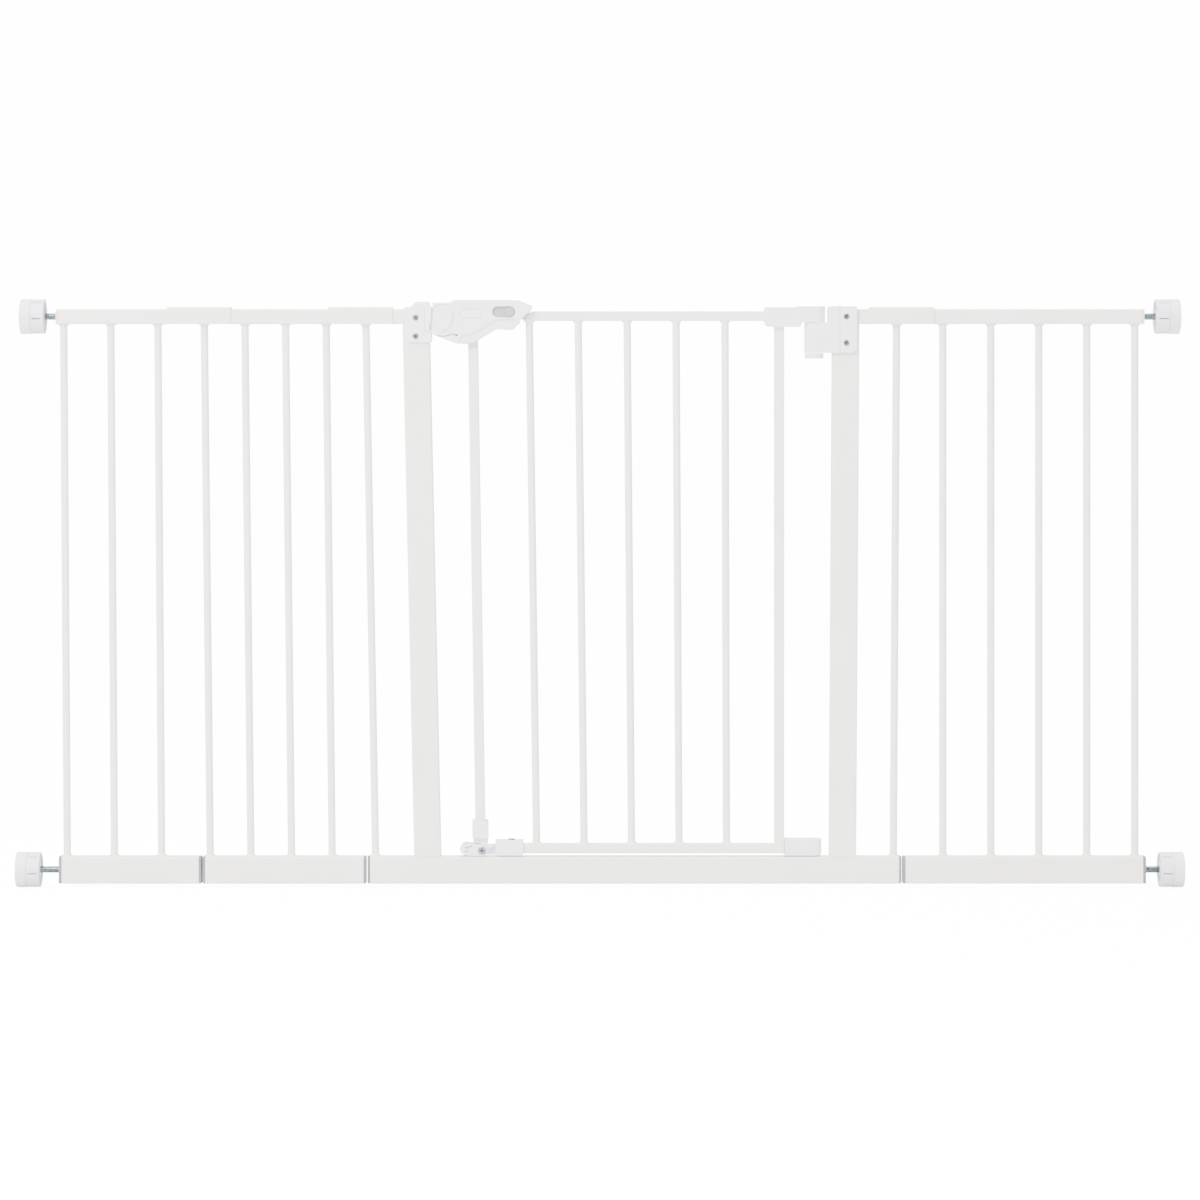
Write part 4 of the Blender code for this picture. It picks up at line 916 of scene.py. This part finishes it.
def footLatch():
    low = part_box("latch_foot")[0]
    foot = cleanShell("latch_foot", "latchFoot")
    slots = [pillSlot(footPivot.x + footForm["slotX"], footPivot.z + z, footForm["slotLength"],
                      footForm["slotHeight"], low.y - 0.001, low.y + footForm["slotDepth"],
                      footForm["slotTilt"])
             for z in footForm["slotZ"]]
    cutWith(foot, *slots)
    plate = addBlock("footPlate", (footPivot.x + footForm["plateLeft"], low.y - footForm["proud"],
                                   footPivot.z + footForm["plateLow"]),
                     (footPivot.x + footForm["plateRight"], low.y + 0.0010,
                      footPivot.z + footForm["plateHigh"]))
    nose = addBlock("nose", (-0.030, -0.02, 0), (0.030, 0.02, 0.020))
    nosePlace = (footPivot.x + footForm["noseX"], 0, footPivot.z + footForm["noseZ"])
    nose.data.transform(Matrix.Translation(nosePlace)
                        @ Matrix.Rotation(math.radians(footForm["noseTilt"]), 4, "Y"))
    cutWith(plate, nose)
    soften(plate, 0.0003, 2)
    ring = addRound("bossRing", (footPivot.x, low.y + 0.0008, footPivot.z),
                    (footPivot.x, low.y - footForm["proud"], footPivot.z), footForm["ringOut"], 56)
    core = addRound("bossCore", (footPivot.x, low.y + 0.002, footPivot.z),
                    (footPivot.x, low.y - 0.002, footPivot.z), footForm["ringIn"], 56)
    cutWith(ring, core)
    soften(ring, 0.0003, 2, 50)
    standFor(joinPieces(foot, ring, plate), "plastic", "latch_foot")


def pillSlot(x, z, length, height, y0, y1, tilt):
    slot = addBlock("slot", (-length / 2, y0, -height / 2), (length / 2, y1, height / 2))
    roundEdges(slot, lambda middle, way: abs(way.y) > 0.99, height / 2 - 0.00001, 6)
    slot.data.transform(Matrix.Translation((x, 0, z)) @ Matrix.Rotation(math.radians(-tilt), 4, "Y"))
    return slot


def footBracket():
    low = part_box("foot_bracket")[0]
    bracket = cleanShell("foot_bracket", "footBracket")
    soften(bracket, 0.0008, 3, 50)
    cutWith(bracket, addBlock("pocket", (footPivot.x + 0.0088, low.y - 0.001, footPivot.z - 0.0046),
                              (footPivot.x + 0.0168, -0.0025, footPivot.z + 0.0036)))
    web = addBlock("bracketWeb", (-0.0050, low.y + 0.0004, -0.0013), (0.0050, -0.0040, 0.0013))
    web.data.transform(Matrix.Translation((footPivot.x + 0.0124, 0, footPivot.z + 0.0062))
                       @ Matrix.Rotation(math.radians(-24), 4, "Y"))
    soften(web, 0.0005, 3)
    standFor(joinPieces(bracket, web), "plastic", "foot_bracket")


def lockBarCap():
    cap = cleanShell("lock_bar_cap", "lockBarCap")
    soften(cap, 0.0009, 3, 50)
    standFor(cap, "plastic", "lock_bar_cap")


footScrewForm = {"pivotHead": 0.0054, "pivotRise": 0.0016, "pivotShank": 0.0025, "clampHead": 0.0046,
                 "clampRise": 0.0017, "clampShank": 0.0020}


def footScrews():
    low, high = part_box("foot_pivot_screw")
    head = crossHead("footPivotScrew", footScrewForm["pivotHead"], footScrewForm["pivotRise"])
    head.data.transform(Matrix.Translation((footPivot.x, low.y + footScrewForm["pivotRise"], footPivot.z)))
    shank = addRound("pivotShank", (footPivot.x, low.y + 0.0015, footPivot.z),
                     (footPivot.x, high.y, footPivot.z), footScrewForm["pivotShank"], 24)
    standFor(joinPieces(head, shank), "zinc", "foot_pivot_screw")
    low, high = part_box("foot_clamp_screw")
    centre = (low + high) / 2
    head = crossHead("footClampScrew", footScrewForm["clampHead"], footScrewForm["clampRise"])
    head.data.transform(Matrix.Translation((centre.x, 0, high.z - footScrewForm["clampRise"]))
                        @ Matrix.Rotation(math.radians(-90), 4, "X"))
    shank = addRound("clampShank", (centre.x, 0, low.z), (centre.x, 0, high.z - 0.0016),
                     footScrewForm["clampShank"], 24)
    standFor(joinPieces(head, shank), "zinc", "foot_clamp_screw")


footLatch()
footBracket()
lockBarCap()
footScrews()
print("foot latch made")


# CAD nodes that stay: hidden inner pieces
kept = {"latch_bolt": "plastic", "hinge_pin": "zincUpright", "hinge_spring": "zincUpright"}
kept.update({f"{corner}_nut": "zinc" for corner in corners})
for node, finish in kept.items():
    piece = frame["nodes"][node]
    piece.data.materials.clear()
    piece.data.materials.append(finishes[finish])


stageLook = {"eye": 0.70, "distance": 5.2, "width": 1.589, "middle": 0.380, "fill": 0.9, "backdrop": 15.0,
             "floor": 0.78, "glow": 12.0, "sky": 9.0, "skySpread": 70, "key": 520, "side": 70}


def addSoftbox(name, place, target, size, power):
    lamp = bpy.data.lights.new(name, "AREA")
    lamp.shape = "RECTANGLE"
    lamp.size, lamp.size_y = size
    lamp.energy = power
    made = bpy.data.objects.new(name, lamp)
    bpy.context.scene.collection.objects.link(made)
    made.location = place
    made.rotation_euler = (Vector(target) - Vector(place)).to_track_quat("-Z", "Y").to_euler()


def addCeiling():  # a very wide soft light from straight above
    lamp = bpy.data.lights.new("ceilingLight", "SUN")
    lamp.energy = stageLook["sky"]
    lamp.angle = math.radians(stageLook["skySpread"])
    made = bpy.data.objects.new("ceilingLight", lamp)
    bpy.context.scene.collection.objects.link(made)
    made.location = (0, 0, 4)


def whiteWorld():  # the backdrop is seen brighter than it lights
    world = bpy.data.worlds.new("studioWhite")
    world.use_nodes = True
    tree = world.node_tree
    glow = tree.nodes["Background"]
    glow.inputs["Color"].default_value = (1, 1, 1, 1)
    ray = tree.nodes.new("ShaderNodeLightPath")
    seen = addRange(tree, ray.outputs["Is Camera Ray"], stageLook["fill"], stageLook["backdrop"], 0, 1)
    tree.links.new(seen, glow.inputs["Strength"])
    bpy.context.scene.world = world


def setStage():
    deselectAll()
    bpy.ops.mesh.primitive_plane_add(size=60, location=(0, 0, cadBox[0].z - 0.0005))
    floor = settle("studioFloor")
    paint = bpy.data.materials.new("paleFloor")
    paint.use_nodes = True
    tree = paint.node_tree
    shader = tree.nodes["Principled BSDF"]
    shader.inputs["Base Color"].default_value = (stageLook["floor"],) * 3 + (1,)
    shader.inputs["Roughness"].default_value = 0.9
    shader.inputs["Specular IOR Level"].default_value = 0.1
    shader.inputs["Emission Color"].default_value = (1, 1, 1, 1)
    ray = tree.nodes.new("ShaderNodeLightPath")         # high key: seen brighter than it lights
    seen = addRange(tree, ray.outputs["Is Camera Ray"], 0, stageLook["glow"], 0, 1)
    tree.links.new(seen, shader.inputs["Emission Strength"])
    floor.data.materials.append(paint)
    whiteWorld()
    addCeiling()
    addSoftbox("keyLight", (-2.0, -3.0, 3.0), (0, 0, 0.5), (1.8, 1.4), stageLook["key"])
    addSoftbox("sideLight", (2.8, -2.6, 2.2), (0, 0, 0.4), (2.2, 1.8), stageLook["side"])


def setCamera():
    lens = bpy.data.cameras.new("frontCamera")
    lens.sensor_width = 36
    lens.lens = lens.sensor_width * stageLook["distance"] / stageLook["width"]
    lens.shift_y = (stageLook["middle"] - stageLook["eye"]) / stageLook["width"]
    lens.clip_end = 200
    camera = bpy.data.objects.new("frontCamera", lens)
    bpy.context.scene.collection.objects.link(camera)
    camera.location = (0, -stageLook["distance"], stageLook["eye"])
    camera.rotation_euler = (math.radians(90), 0, 0)
    bpy.context.scene.camera = camera


setStage()
setCamera()
print("stage and camera set")
